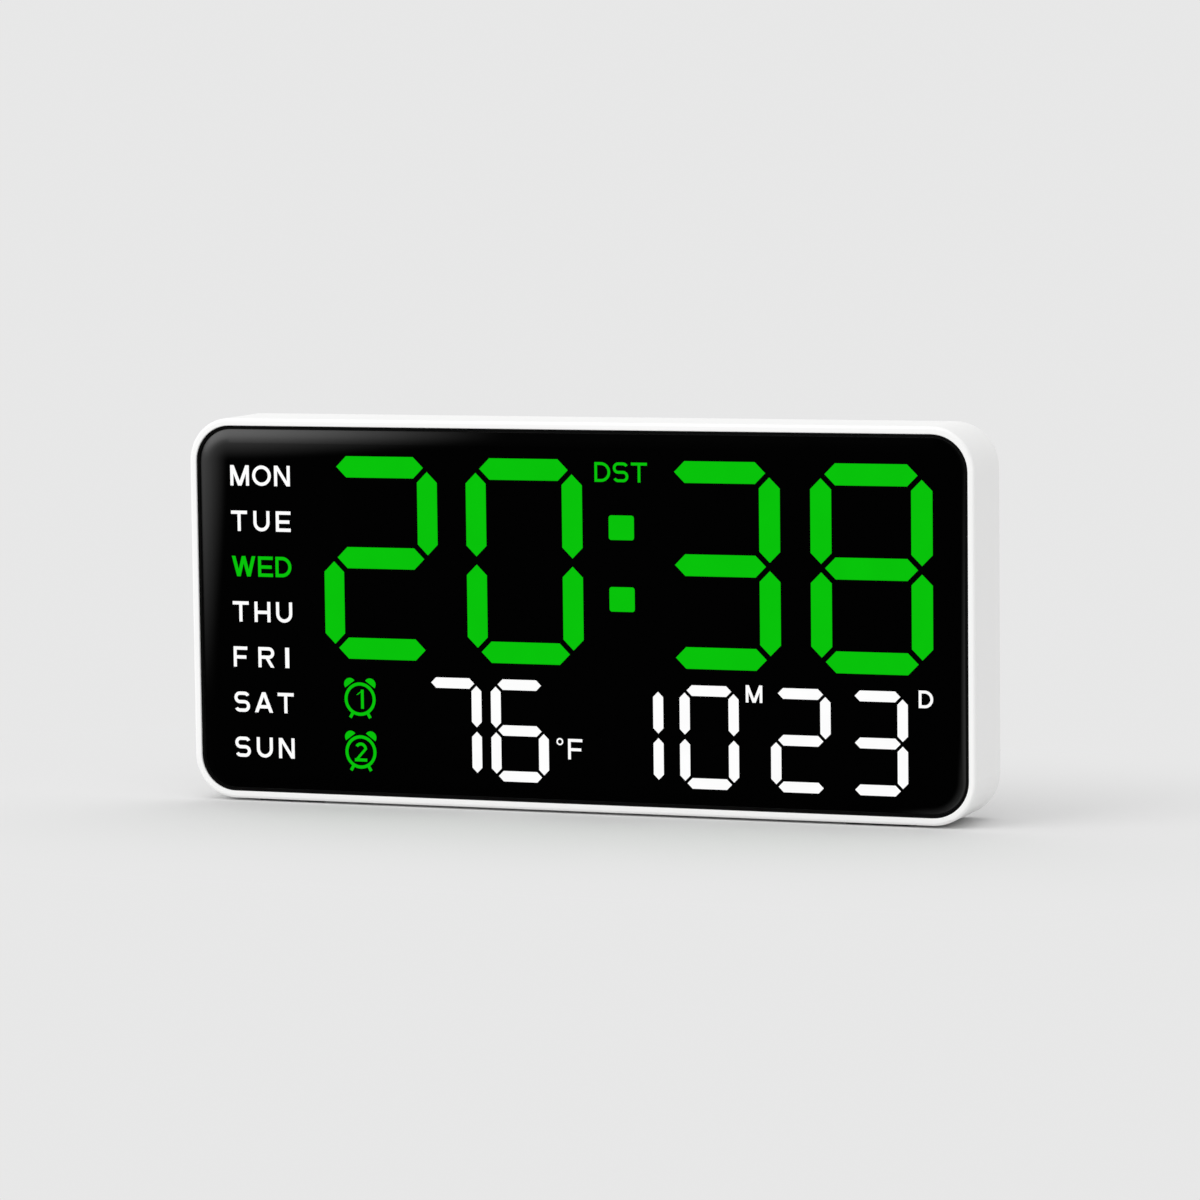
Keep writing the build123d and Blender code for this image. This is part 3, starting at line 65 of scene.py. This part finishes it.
# Front panel
panel_corner = 11.3 * millimetre
# Width of the paler, coated line along the panel's bevel: a painted highlight
panel_bevel_highlight_width = 0.35 * millimetre
panel_smudge_patch = 25 * millimetre
panel_black = (0.0002, 0.0002, 0.0002, 1)
# Paler grey of that bevel line: painted highlight
panel_bevel_highlight_grey = (0.03, 0.03, 0.03, 1)
panel_roughness = (0.2, 0.3)
panel_glare = 0.005
panel_coat_roughness = 0.3
panel_coat_ior = 1.55

# Painted highlight on the panel's falling edge: coat laid only near one corner, full there, so the lamps
# show in it there alone; side 1 is the right, end 1 is the top
painted_gloss_corners = (
    {
        "side": -1,
        "end": 1,
        "length": 115 * millimetre,
        "rise": 98 * millimetre,
        "width": 5.8 * millimetre,
        "share": 1.0,
    },
    {
        "side": 1,
        "end": -1,
        "length": 24 * millimetre,
        "rise": 140 * millimetre,
        "width": 1.1 * millimetre,
        "share": 0.9,
    },
    {
        "side": 1,
        "end": -1,
        "length": 28 * millimetre,
        "rise": 42 * millimetre,
        "width": 1.8 * millimetre,
        "share": 0.6,
    },
)

# Light guides of the display, with their colours as they show
green_light = (0.0015, 0.37, 0.002, 1)
green_body = (0.0008, 0.17, 0.001, 1)
white_light = (0.62, 0.62, 0.62, 1)
white_body = (0.36, 0.36, 0.36, 1)
guide_glow_patch = 9 * millimetre
guide_sheen_patch = 3 * millimetre
guide_body_swing = 0.03
guide_light_swing = 0.035
lit_roughness = (0.3, 0.4)
unlit_roughness = (0.22, 0.3)
unlit_pale_share = 1.4

# Moulded plastic and rubber
cloud_patch = 18 * millimetre
sheen_patch = 6 * millimetre
sheen_swing = 0.06

# Spark texture
coarse_pit = 0.7 * millimetre
fine_pit = 0.25 * millimetre
coarse_pit_share = 0.65
pit_depth = 0.05 * millimetre
pit_strength = 0.5
pit_roughness = (0.62, 0.46)
# Colour from pit to top: painted shade in the pits, mixed with random cloudy tone
pit_painted_shade_and_tone = (0.97, 1.02)
pit_cloud_patch = 30 * millimetre

# Plated and ground metal
streak_patch = 0.5 * millimetre
streak_depth = 0.01 * millimetre
streak_strength = 0.4
streak_swing = 0.09
plating_patch = 4 * millimetre
plating_shades = (0.9, 1.08)

# Circuit boards
mask_green = (0.012, 0.11, 0.045, 1)
track_green = (0.03, 0.2, 0.085, 1)
mask_patch = 12 * millimetre
mask_roughness = (0.32, 0.46)
track_scale = 120.0
track_wander = 14.0
track_contrast = 6
track_cut = 4.6
track_depth = 0.03 * millimetre

# Printed key marks
key_names = ("set", "up", "down", "alarm", "light")
mark_thickness = 0.06 * millimetre
mark_sink = 0.02 * millimetre
mark_weld = 0.002 * millimetre
bell_dome = 0.95 * millimetre
bell_foot = 1.35 * millimetre
bell_drop = 1.0 * millimetre
clapper_radius = 0.34 * millimetre
clapper_drop = bell_drop + 1.5 * clapper_radius
bell_arc_steps = 18
arrow_mark = {"Core Sides": 3, "Core Radius": 1.6 * millimetre, "Ray Count": 0}
round_mark = {"Core Sides": 24, "Ray Count": 8}
mark_shapes = {
    "set": {
        **round_mark,
        "Core Radius": 1.2 * millimetre,
        "Ray Middle": 1.5 * millimetre,
        "Ray Length": 0.56 * millimetre,
        "Ray Width": 0.5 * millimetre,
    },
    "up": {**arrow_mark, "Spin": radians(-90)},
    "down": {**arrow_mark, "Spin": radians(90)},
    "light": {
        **round_mark,
        "Core Radius": 0.9 * millimetre,
        "Ray Middle": 1.65 * millimetre,
        "Ray Length": 0.7 * millimetre,
        "Ray Width": 0.28 * millimetre,
    },
}

# Studio, in metres
backdrop_grey = 0.803
ambient_light = 0.66
floor_albedo = 0.74
floor_bounce = 0.85
floor_half = 8.0
floor_fade_reach = 0.17
floor_contact_reach = 0.012
lamp_distance = 3.0
softbox_turn = radians(42)
softbox_rise = radians(24)
softbox_width = 2.4
softbox_height = 1.8
softbox_radiance = 2.2
top_light = 0.93
top_light_spread = radians(60)
top_light_lean = radians(12)

# Camera, fitted to the edges of the case in the photograph
camera_place = Vector((595.0, -1571.7, 236.1)) * millimetre
camera_turn = radians(20.595)
camera_dip = radians(5.635)
camera_roll = radians(-0.68)
camera_lens = 151.4
camera_sensor = 36.0


def grey(level):
    return (level, level, level, 1)


def lighter(colour, share):
    return tuple(min(1.0, part * share) for part in colour[:3]) + (1,)


class Wire:
    """A socket in a finish; arithmetic on it adds Math nodes."""

    def __init__(self, finish, socket):
        self.finish = finish
        self.socket = socket

    def math(self, operation, *others):
        values = dict(enumerate((self, *others)))
        return self.finish.add("ShaderNodeMath", {"operation": operation}, values)

    def __add__(self, other):
        return self.math("ADD", other)

    def __sub__(self, other):
        return self.math("SUBTRACT", other)

    def __rsub__(self, other):
        return self.finish.add("ShaderNodeMath", {"operation": "SUBTRACT"}, {0: other, 1: self})

    def __mul__(self, other):
        return self.math("MULTIPLY", other)

    def __truediv__(self, other):
        return self.math("DIVIDE", other)

    __radd__ = __add__
    __rmul__ = __mul__

    def least(self, other):
        return self.math("MINIMUM", other)

    def most(self, other):
        return self.math("MAXIMUM", other)

    def size(self):
        return self.math("ABSOLUTE")

    def root(self):
        return self.math("SQRT")

    def held(self):
        """The value kept from 0 to 1."""
        return self.most(0).least(1)

    def eased(self):
        """The value kept from 0 to 1, with soft ends."""
        inside = self.held()
        return inside * inside * (3 - 2 * inside)

    def between(self, low, high):
        """Low where the value is 0, high where it is 1."""
        return low + (high - low) * self


class Finish:
    """A procedural material: its shader, and one method that adds any other node."""

    def __init__(self, name, tree=None):
        self.material = None
        if tree is None:
            self.material = bpy.data.materials.new(name)
            self.material.use_nodes = True
            tree = self.material.node_tree
        self.nodes = tree.nodes
        self.links = tree.links
        self.shader = tree.nodes.get("Principled BSDF")

    def add(self, kind, settings=None, inputs=None, output=0):
        """Adds a node, sets it up, fills its sockets and gives back one of its outputs."""
        node = self.nodes.new(kind)
        for name, value in (settings or {}).items():
            setattr(node, name, value)
        for key, value in (inputs or {}).items():
            self.plug(node.inputs[key], value)
        return Wire(self, node.outputs[output])

    def plug(self, socket, value):
        if isinstance(value, Wire):
            self.links.new(value.socket, socket)
        else:
            socket.default_value = value

    def shade(self, values):
        """Fills sockets of the main shader."""
        for name, value in values.items():
            self.plug(self.shader.inputs[name], value)
        return self.material

    def place(self):
        return self.add("ShaderNodeTexCoord", output="Object")

    def stretched(self, shares):
        """Object coordinates stretched by a share along each axis."""
        return self.add("ShaderNodeMapping", None, {"Vector": self.place(), "Scale": shares})

    def axes(self):
        """X, Y and Z of the point being shaded."""
        parts = self.add("ShaderNodeSeparateXYZ", None, {0: self.place()})
        return [Wire(self, socket) for socket in parts.socket.node.outputs]

    def background_rays(self):
        """1 on rays that show the background: the camera's own, mirrored ones and those let through."""
        rays = self.add("ShaderNodeLightPath").socket.node.outputs
        kinds = ("Is Camera Ray", "Is Glossy Ray", "Is Transmission Ray")
        own, mirrored, let_through = (Wire(self, rays[kind]) for kind in kinds)
        return own.most(mirrored).most(let_through)

    def noise(self, patch, detail=2.0, where=None):
        """Noise from 0 to 1 with patches of about the given size in metres."""
        values = {"Vector": where or self.place(), "Scale": 1 / patch, "Detail": detail}
        return self.add("ShaderNodeTexNoise", None, values)

    def blend(self, amount, low, high):
        """Colour that goes from low to high with an amount."""
        return self.add("ShaderNodeMix", {"data_type": "RGBA"}, {0: amount, 6: low, 7: high}, output=2)

    def shades(self, amount, colour, dark, pale):
        """Colour that goes from a dark to a pale share of itself with an amount."""
        return self.blend(amount, lighter(colour, dark), lighter(colour, pale))

    def bump(self, height, depth, strength=1.0):
        values = {"Height": height, "Distance": depth, "Strength": strength}
        return self.add("ShaderNodeBump", None, values)


def moulded(name, colour, grain, depth, rough, variation, specular=0.5):
    """Moulded plastic or rubber: cloudy colour, uneven sheen and a fine grain."""
    finish = Finish(name)
    cloud = finish.noise(cloud_patch, detail=3)
    sheen = finish.noise(sheen_patch, detail=4)
    return finish.shade({
        "Base Color": finish.shades(cloud, colour, 1 - variation, 1 + variation),
        "Roughness": sheen.between(rough - sheen_swing, rough + sheen_swing),
        "Specular IOR Level": specular,
        "Normal": finish.bump(finish.noise(grain), depth),
    })


def spark_textured(name, colour):
    """Plastic moulded against a spark-eroded tool: pits of two sizes with shinier tops, colour a little
    darker in the pits (painted shade) and cloudy at random.
    """
    finish = Finish(name)
    coarse = finish.noise(coarse_pit, detail=3)
    grain = coarse_pit_share * coarse + (1 - coarse_pit_share) * finish.noise(fine_pit)
    cloud = finish.noise(pit_cloud_patch)
    return finish.shade({
        # Colour darker in the pits: painted shade; the cloud adds random tone
        "Base Color": finish.shades((grain + cloud) / 2, colour, *pit_painted_shade_and_tone),
        "Roughness": grain.between(*pit_roughness),
        "Normal": finish.bump(grain, pit_depth, pit_strength),
    })


def metal(name, colour, rough, streak):
    """Plated or ground metal with fine streaks along one axis."""
    finish = Finish(name)
    streaks = finish.noise(streak_patch, detail=3, where=finish.stretched(streak))
    cloud = finish.noise(plating_patch, detail=3)
    return finish.shade({
        "Base Color": finish.shades(cloud, colour, *plating_shades),
        "Metallic": 1.0,
        "Roughness": streaks.between(rough - streak_swing, rough + streak_swing),
        "Normal": finish.bump(streaks, streak_depth, streak_strength),
    })


def panel_inset(finish):
    """How far inside the panel's outline a point lies, in metres."""
    x, _, z = finish.axes()
    across = x.size() - (panel_half.x - panel_corner)
    up = (z - panel_middle.z).size() - (panel_half.z - panel_corner)
    out_x = across.most(0)
    out_z = up.most(0)
    corner = (out_x * out_x + out_z * out_z).root()
    return panel_corner - corner - across.most(up).least(0)


def corner_painted_gloss(finish, inset, side, end, length, rise, width, share):
    """Painted highlight on the falling edge: a share of coat, full at a corner of the panel and fading
    along both its sides.
    """
    x, _, z = finish.axes()
    across = (panel_half.x - side * (x - panel_middle.x)) / length
    along = (panel_half.z - end * (z - panel_middle.z)) / rise
    painted_gloss = (1 - (across * across + along * along).root()).eased()
    return share * painted_gloss * (1 - inset / (width * (1 + painted_gloss))).eased()


def smoked_panel_painted_gloss():
    """Smoked face with a dull anti-glare middle; coat, and so the lamps' reflection, only on the edge
    where it falls away and mostly near three corners: painted highlight. The bevel line all round is
    paler and coated: painted highlight.
    """
    finish = Finish("smoked_panel")
    inset = panel_inset(finish)
    # Line along the bevel, paler and coated: painted highlight
    bevel_highlight = (1 - inset / panel_bevel_highlight_width).eased()
    painted_gloss = bevel_highlight
    # Coat also laid near three corners of the falling edge: painted highlight
    for sheen in painted_gloss_corners:
        painted_gloss = painted_gloss.most(corner_painted_gloss(finish, inset, **sheen))
    smudge = finish.noise(panel_smudge_patch, detail=4)
    return finish.shade({
        "Base Color": finish.blend(bevel_highlight, panel_black, panel_bevel_highlight_grey),
        "Roughness": smudge.between(*panel_roughness),
        "Specular IOR Level": panel_glare,
        # Coat only where the highlight is painted, on the bevel line and near three corners
        "Coat Weight": painted_gloss,
        "Coat Roughness": panel_coat_roughness,
        "Coat IOR": panel_coat_ior,
    })


def lit_guide(name, body, light):
    """Milky light guide that glows, a little stronger over its diodes."""
    finish = Finish(name)
    glow = finish.noise(guide_glow_patch, detail=1)
    return finish.shade({
        "Base Color": finish.shades(glow, body, 1 - guide_body_swing, 1 + guide_body_swing),
        "Roughness": finish.noise(guide_sheen_patch).between(*lit_roughness),
        "Specular IOR Level": panel_glare,
        "Emission Color": finish.shades(glow, light, 1 - guide_light_swing, 1 + guide_light_swing),
        "Emission Strength": 1.0,
    })


def dark_guide():
    """Tinted light guide with no light behind it, as dark as the panel round it."""
    finish = Finish("dark_guide")
    cloud = finish.noise(guide_glow_patch)
    return finish.shade({
        "Base Color": finish.shades(cloud, panel_black, 1, unlit_pale_share),
        "Roughness": cloud.between(*unlit_roughness),
        "Specular IOR Level": panel_glare,
    })


def circuit_board():
    """Solder mask over copper tracks that show as paler lines."""
    finish = Finish("circuit_board")
    settings = {"bands_direction": "X", "wave_profile": "SIN"}
    values = {"Vector": finish.place(), "Scale": track_scale, "Distortion": track_wander, "Detail": 0.0}
    waves = finish.add("ShaderNodeTexWave", settings, values)
    tracks = (waves * track_contrast - track_cut).held()
    cloud = finish.noise(mask_patch, detail=3)
    return finish.shade({
        "Base Color": finish.blend(tracks, mask_green, track_green),
        "Roughness": cloud.between(*mask_roughness),
        "Normal": finish.bump(tracks, track_depth),
    })


finishes = {
    "case_white": moulded(
        "satin_white",
        colour=(0.91, 0.91, 0.905, 1),
        grain=0.5 * millimetre,
        depth=0.004 * millimetre,
        rough=0.46,
        variation=0.008,
        specular=0.35,
    ),
    "cover_white": spark_textured("spark_white", colour=(0.85, 0.85, 0.845, 1)),
    "panel_black": smoked_panel_painted_gloss(),
    "guide_green": lit_guide("green_guide", green_body, green_light),
    "guide_white": lit_guide("white_guide", white_body, white_light),
    "guide_dark": dark_guide(),
    "foot_rubber": moulded(
        "foot_rubber",
        colour=(0.022, 0.022, 0.023, 1),
        grain=0.4 * millimetre,
        depth=0.06 * millimetre,
        rough=0.8,
        variation=0.15,
    ),
    "gasket_rubber": moulded(
        "gasket_rubber",
        colour=(0.002, 0.002, 0.002, 1),
        grain=0.3 * millimetre,
        depth=0.03 * millimetre,
        rough=0.85,
        variation=0.2,
        specular=0.05,
    ),
    "tape_foam": moulded(
        "tape_foam",
        colour=(0.03, 0.03, 0.03, 1),
        grain=0.3 * millimetre,
        depth=0.08 * millimetre,
        rough=0.9,
        variation=0.2,
    ),
    "film_milky": moulded(
        "milky_film",
        colour=(0.86, 0.86, 0.86, 1),
        grain=0.2 * millimetre,
        depth=0.01 * millimetre,
        rough=0.45,
        variation=0.02,
    ),
    "reflector_white": moulded(
        "reflector_white",
        colour=(0.84, 0.84, 0.83, 1),
        grain=0.6 * millimetre,
        depth=0.02 * millimetre,
        rough=0.5,
        variation=0.02,
    ),
    "board_green": circuit_board(),
    "screw_steel": metal("zinc_plate", colour=(0.5, 0.5, 0.51, 1), rough=0.34, streak=(1, 1, 6)),
    "pin_steel": metal("ground_pin", colour=(0.58, 0.58, 0.59, 1), rough=0.24, streak=(6, 6, 1)),
    "cell_steel": metal("nickel_plate", colour=(0.62, 0.61, 0.6, 1), rough=0.26, streak=(1, 5, 5)),
    "led_package": moulded(
        "led_resin",
        colour=(0.8, 0.76, 0.5, 1),
        grain=0.8 * millimetre,
        depth=0.01 * millimetre,
        rough=0.25,
        variation=0.08,
    ),
    "chip_black": moulded(
        "chip_compound",
        colour=(0.018, 0.018, 0.02, 1),
        grain=0.15 * millimetre,
        depth=0.02 * millimetre,
        rough=0.6,
        variation=0.15,
    ),
    "connector_black": moulded(
        "connector_black",
        colour=(0.02, 0.02, 0.021, 1),
        grain=0.3 * millimetre,
        depth=0.015 * millimetre,
        rough=0.5,
        variation=0.12,
    ),
    "key_grey": moulded(
        "key_satin",
        colour=(0.55, 0.55, 0.55, 1),
        grain=0.35 * millimetre,
        depth=0.02 * millimetre,
        rough=0.5,
        variation=0.03,
    ),
}
mark_ink = moulded(
    "mark_ink",
    colour=(0.05, 0.05, 0.055, 1),
    grain=0.2 * millimetre,
    depth=0.004 * millimetre,
    rough=0.55,
    variation=0.1,
)


def dress_nodes():
    """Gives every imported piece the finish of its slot."""
    for entry in frame["record"]["subparts"]:
        slots = frame["nodes"][entry["node"]].material_slots
        for slot in slots:
            slot.material = finishes[entry["material_slot"]]


def tree_node(tree, kind, settings=None, inputs=None):
    """Adds a geometry node, with its settings, and its values or links by socket name."""
    node = tree.nodes.new(kind)
    for name, value in (settings or {}).items():
        setattr(node, name, value)
    for name, value in (inputs or {}).items():
        if isinstance(value, bpy.types.NodeSocket):
            tree.links.new(value, node.inputs[name])
        else:
            node.inputs[name].default_value = value
    return node


def mark_tree():
    """Printed mark on a key: a core with any number of rays or teeth round it, on a face towards +Y."""
    tree = bpy.data.node_groups.new("key_mark", "GeometryNodeTree")
    kinds = {
        "Core Sides": "NodeSocketInt",
        "Core Radius": "NodeSocketFloat",
        "Ray Count": "NodeSocketInt",
        "Ray Middle": "NodeSocketFloat",
        "Ray Length": "NodeSocketFloat",
        "Ray Width": "NodeSocketFloat",
        "Thickness": "NodeSocketFloat",
        "Spin": "NodeSocketFloat",
        "Place": "NodeSocketVector",
        "Ink": "NodeSocketMaterial",
    }
    for name, kind in kinds.items():
        tree.interface.new_socket(name, in_out="INPUT", socket_type=kind)
    tree.interface.new_socket("Geometry", in_out="OUTPUT", socket_type="NodeSocketGeometry")
    given = tree.nodes.new("NodeGroupInput").outputs
    core = tree_node(tree, "GeometryNodeMeshCircle", {"fill_type": "NGON"}, {
        "Vertices": given["Core Sides"], "Radius": given["Core Radius"]})
    spots = tree_node(tree, "GeometryNodeMeshCircle", {"fill_type": "NONE"}, {
        "Vertices": given["Ray Count"], "Radius": given["Ray Middle"]})
    ray = tree_node(tree, "GeometryNodeMeshGrid", None, {
        "Size X": given["Ray Length"], "Size Y": given["Ray Width"], "Vertices X": 2, "Vertices Y": 2})
    outward = tree_node(tree, "FunctionNodeAlignRotationToVector", {"axis": "X"}, {
        "Vector": tree_node(tree, "GeometryNodeInputPosition").outputs[0]})
    rays = tree_node(tree, "GeometryNodeInstanceOnPoints", None, {
        "Points": spots.outputs["Mesh"], "Instance": ray.outputs["Mesh"], "Rotation": outward.outputs[0]})
    loose = tree_node(tree, "GeometryNodeRealizeInstances", None, {"Geometry": rays.outputs[0]})
    flat = tree_node(tree, "GeometryNodeJoinGeometry")
    tree.links.new(loose.outputs[0], flat.inputs[0])
    tree.links.new(core.outputs["Mesh"], flat.inputs[0])
    raised = tree_node(tree, "GeometryNodeExtrudeMesh", {"mode": "FACES"}, {
        "Mesh": flat.outputs[0], "Offset Scale": given["Thickness"], "Individual": False})
    under = tree_node(tree, "GeometryNodeFlipFaces", None, {"Mesh": flat.outputs[0]})
    closed = tree_node(tree, "GeometryNodeJoinGeometry")
    tree.links.new(under.outputs[0], closed.inputs[0])
    tree.links.new(raised.outputs["Mesh"], closed.inputs[0])
    welded = tree_node(tree, "GeometryNodeMergeByDistance", None, {
        "Geometry": closed.outputs[0], "Distance": mark_weld})
    spun = tree_node(tree, "ShaderNodeCombineXYZ", None, {"Z": given["Spin"]})
    aimed = tree_node(tree, "GeometryNodeTransform", None, {
        "Geometry": welded.outputs[0], "Rotation": spun.outputs[0]})
    turned = tree_node(tree, "ShaderNodeCombineXYZ", None, {"X": radians(-90)})
    placed = tree_node(tree, "GeometryNodeTransform", None, {
        "Geometry": aimed.outputs[0], "Rotation": turned.outputs[0], "Translation": given["Place"]})
    whole = tree_node(tree, "GeometryNodeRealizeInstances", None, {"Geometry": placed.outputs[0]})
    inked = tree_node(tree, "GeometryNodeSetMaterial", None, {
        "Geometry": whole.outputs[0], "Material": given["Ink"]})
    out = tree.nodes.new("NodeGroupOutput")
    tree.links.new(inked.outputs[0], out.inputs[0])
    return tree


def new_piece(name, mesh):
    piece = bpy.data.objects.new(name, mesh)
    bpy.context.scene.collection.objects.link(piece)
    return piece


def grown_piece(name, tree, values):
    """A plain mesh made by a geometry tree with the given inputs."""
    piece = new_piece(name, bpy.data.meshes.new(name))
    modifier = piece.modifiers.new("shape", "NODES")
    modifier.node_group = tree
    for item in tree.interface.items_tree:
        if item.in_out == "INPUT" and item.name in values:
            modifier[item.identifier] = values[item.name]
    evaluated = piece.evaluated_get(bpy.context.evaluated_depsgraph_get())
    mesh = bpy.data.meshes.new_from_object(evaluated)
    piece.modifiers.clear()
    piece.data = mesh
    return piece


def key_face(key):
    """Middle of a key's outer face, sunk by the depth of the ink below it."""
    low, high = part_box(f"{key}_key")
    return Vector(((low.x + high.x) / 2, high.y - mark_sink, (low.z + high.z) / 2))


def arc(radius, sweep, count, drop=0.0):
    """Points in X and Z on an arc from +X, about a middle that lies lower by a drop."""
    angles = [sweep * step / bell_arc_steps for step in range(count)]
    return [(radius * cos(angle), radius * sin(angle) - drop) for angle in angles]


def bell_mark(key):
    """Printed bell: a dome with a flared foot, and a clapper under it."""
    outline = arc(bell_dome, pi, bell_arc_steps + 1)
    outline += [
        (-bell_dome, -bell_drop / 2),
        (-bell_foot, -bell_drop),
        (bell_foot, -bell_drop),
        (bell_dome, -bell_drop / 2),
    ]
    clapper = arc(clapper_radius, 2 * pi, bell_arc_steps, clapper_drop)
    shape = bmesh.new()
    for loop in (outline, clapper):
        face = shape.faces.new([shape.verts.new((x, 0, z)) for x, z in loop])
        top = bmesh.ops.extrude_face_region(shape, geom=[face])["geom"]
        corners = [part for part in top if isinstance(part, bmesh.types.BMVert)]
        bmesh.ops.translate(shape, vec=(0, mark_thickness, 0), verts=corners)
    bmesh.ops.recalc_face_normals(shape, faces=shape.faces)
    bmesh.ops.translate(shape, vec=key_face(key), verts=shape.verts)
    mesh = bpy.data.meshes.new(f"{key}_key_mark")
    shape.to_mesh(mesh)
    shape.free()
    mesh.materials.append(mark_ink)
    return new_piece(f"{key}_key_mark", mesh)


def print_key_marks():
    """Marks on the five keys: a gear, two arrowheads, a bell and a sun."""
    tree = mark_tree()
    for key in key_names:
        if key in mark_shapes:
            print_on = {"Thickness": mark_thickness, "Place": key_face(key), "Ink": mark_ink}
            mark = grown_piece(f"{key}_key_mark", tree, {**mark_shapes[key], **print_on})
        else:
            mark = bell_mark(key)
        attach(mark, f"{key}_key")


def studio_floor():
    """Pale floor that keeps the clock's shadow and runs into the backdrop further out."""
    signs = ((-1, -1), (1, -1), (1, 1), (-1, 1))
    mesh = bpy.data.meshes.new("studio_floor")
    mesh.from_pydata([(floor_half * x, floor_half * y, 0) for x, y in signs], [], [range(len(signs))])
    finish = Finish("studio_floor")
    x, y, _ = finish.axes()
    beside = (x.size() - cad_high.x).most(0)
    before = (y.size() - cad_high.y).most(0)
    distance = (beside * beside + before * before).root()
    fade = (distance / floor_fade_reach).eased()
    bounce = (distance / floor_contact_reach).eased()
    seen = finish.background_rays()
    finish.shade({"Base Color": grey(floor_albedo), "Roughness": 1.0, "Specular IOR Level": 0.0})
    glow = finish.blend(seen, grey(floor_bounce), grey(backdrop_grey))
    plain = finish.add("ShaderNodeEmission", None, {"Color": glow})
    lit = Wire(finish, finish.shader.outputs[0])
    mixed = finish.add("ShaderNodeMixShader", None, {0: seen.between(bounce, fade), 1: lit, 2: plain})
    finish.plug(finish.nodes["Material Output"].inputs["Surface"], mixed)
    mesh.materials.append(finish.material)
    floor = new_piece("studio_floor", mesh)


def studio_world():
    """Even light all round; the camera, and what mirrors it, sees the backdrop."""
    world = bpy.data.worlds.new("studio_world")
    bpy.context.scene.world = world
    world.use_nodes = True
    finish = Finish("studio_world", world.node_tree)
    seen = finish.background_rays()
    background = finish.nodes["Background"]
    finish.plug(background.inputs["Color"], grey(1))
    finish.plug(background.inputs["Strength"], seen.between(ambient_light, backdrop_grey))


def add_light(name, data, towards):
    """Hangs a lamp in a direction from the panel's middle, aimed back along it."""
    light = bpy.data.objects.new(name, data)
    light.location = panel_middle + towards * lamp_distance
    light.rotation_mode = "QUATERNION"
    light.rotation_quaternion = towards.to_track_quat("Z", "Y")
    bpy.context.scene.collection.objects.link(light)


def studio_lights():
    """A softbox at the upper left of the front, and a weak soft light from above."""
    softbox = bpy.data.lights.new("softbox", "AREA")
    softbox.shape = "RECTANGLE"
    softbox.size = softbox_width
    softbox.size_y = softbox_height
    softbox.energy = softbox_radiance * pi * softbox_width * softbox_height
    add_light("softbox", softbox, Vector((
        -sin(softbox_turn) * cos(softbox_rise),
        -cos(softbox_turn) * cos(softbox_rise),
        sin(softbox_rise),
    )))
    above = bpy.data.lights.new("top_light", "SUN")
    above.energy = top_light
    above.angle = top_light_spread
    add_light("top_light", above, Vector((0, -sin(top_light_lean), cos(top_light_lean))))


def photograph_camera():
    """Camera where the photograph was taken from: turned, dipped and slightly rolled."""
    ahead = Vector((
        -sin(camera_turn) * cos(camera_dip),
        cos(camera_turn) * cos(camera_dip),
        -sin(camera_dip),
    ))
    level = Vector((cos(camera_turn), sin(camera_turn), 0))
    upright = level.cross(ahead)
    right = cos(camera_roll) * level + sin(camera_roll) * upright
    up = cos(camera_roll) * upright - sin(camera_roll) * level
    data = bpy.data.cameras.new("camera")
    data.sensor_width = camera_sensor
    data.lens = camera_lens
    camera = bpy.data.objects.new("camera", data)
    turned = Matrix((right, up, -ahead)).transposed().to_4x4()
    camera.matrix_world = Matrix.Translation(camera_place) @ turned
    bpy.context.scene.collection.objects.link(camera)
    bpy.context.scene.camera = camera


dress_nodes()
print_key_marks()
studio_floor()
studio_world()
studio_lights()
photograph_camera()
bpy.context.scene.view_settings.view_transform = "Standard"
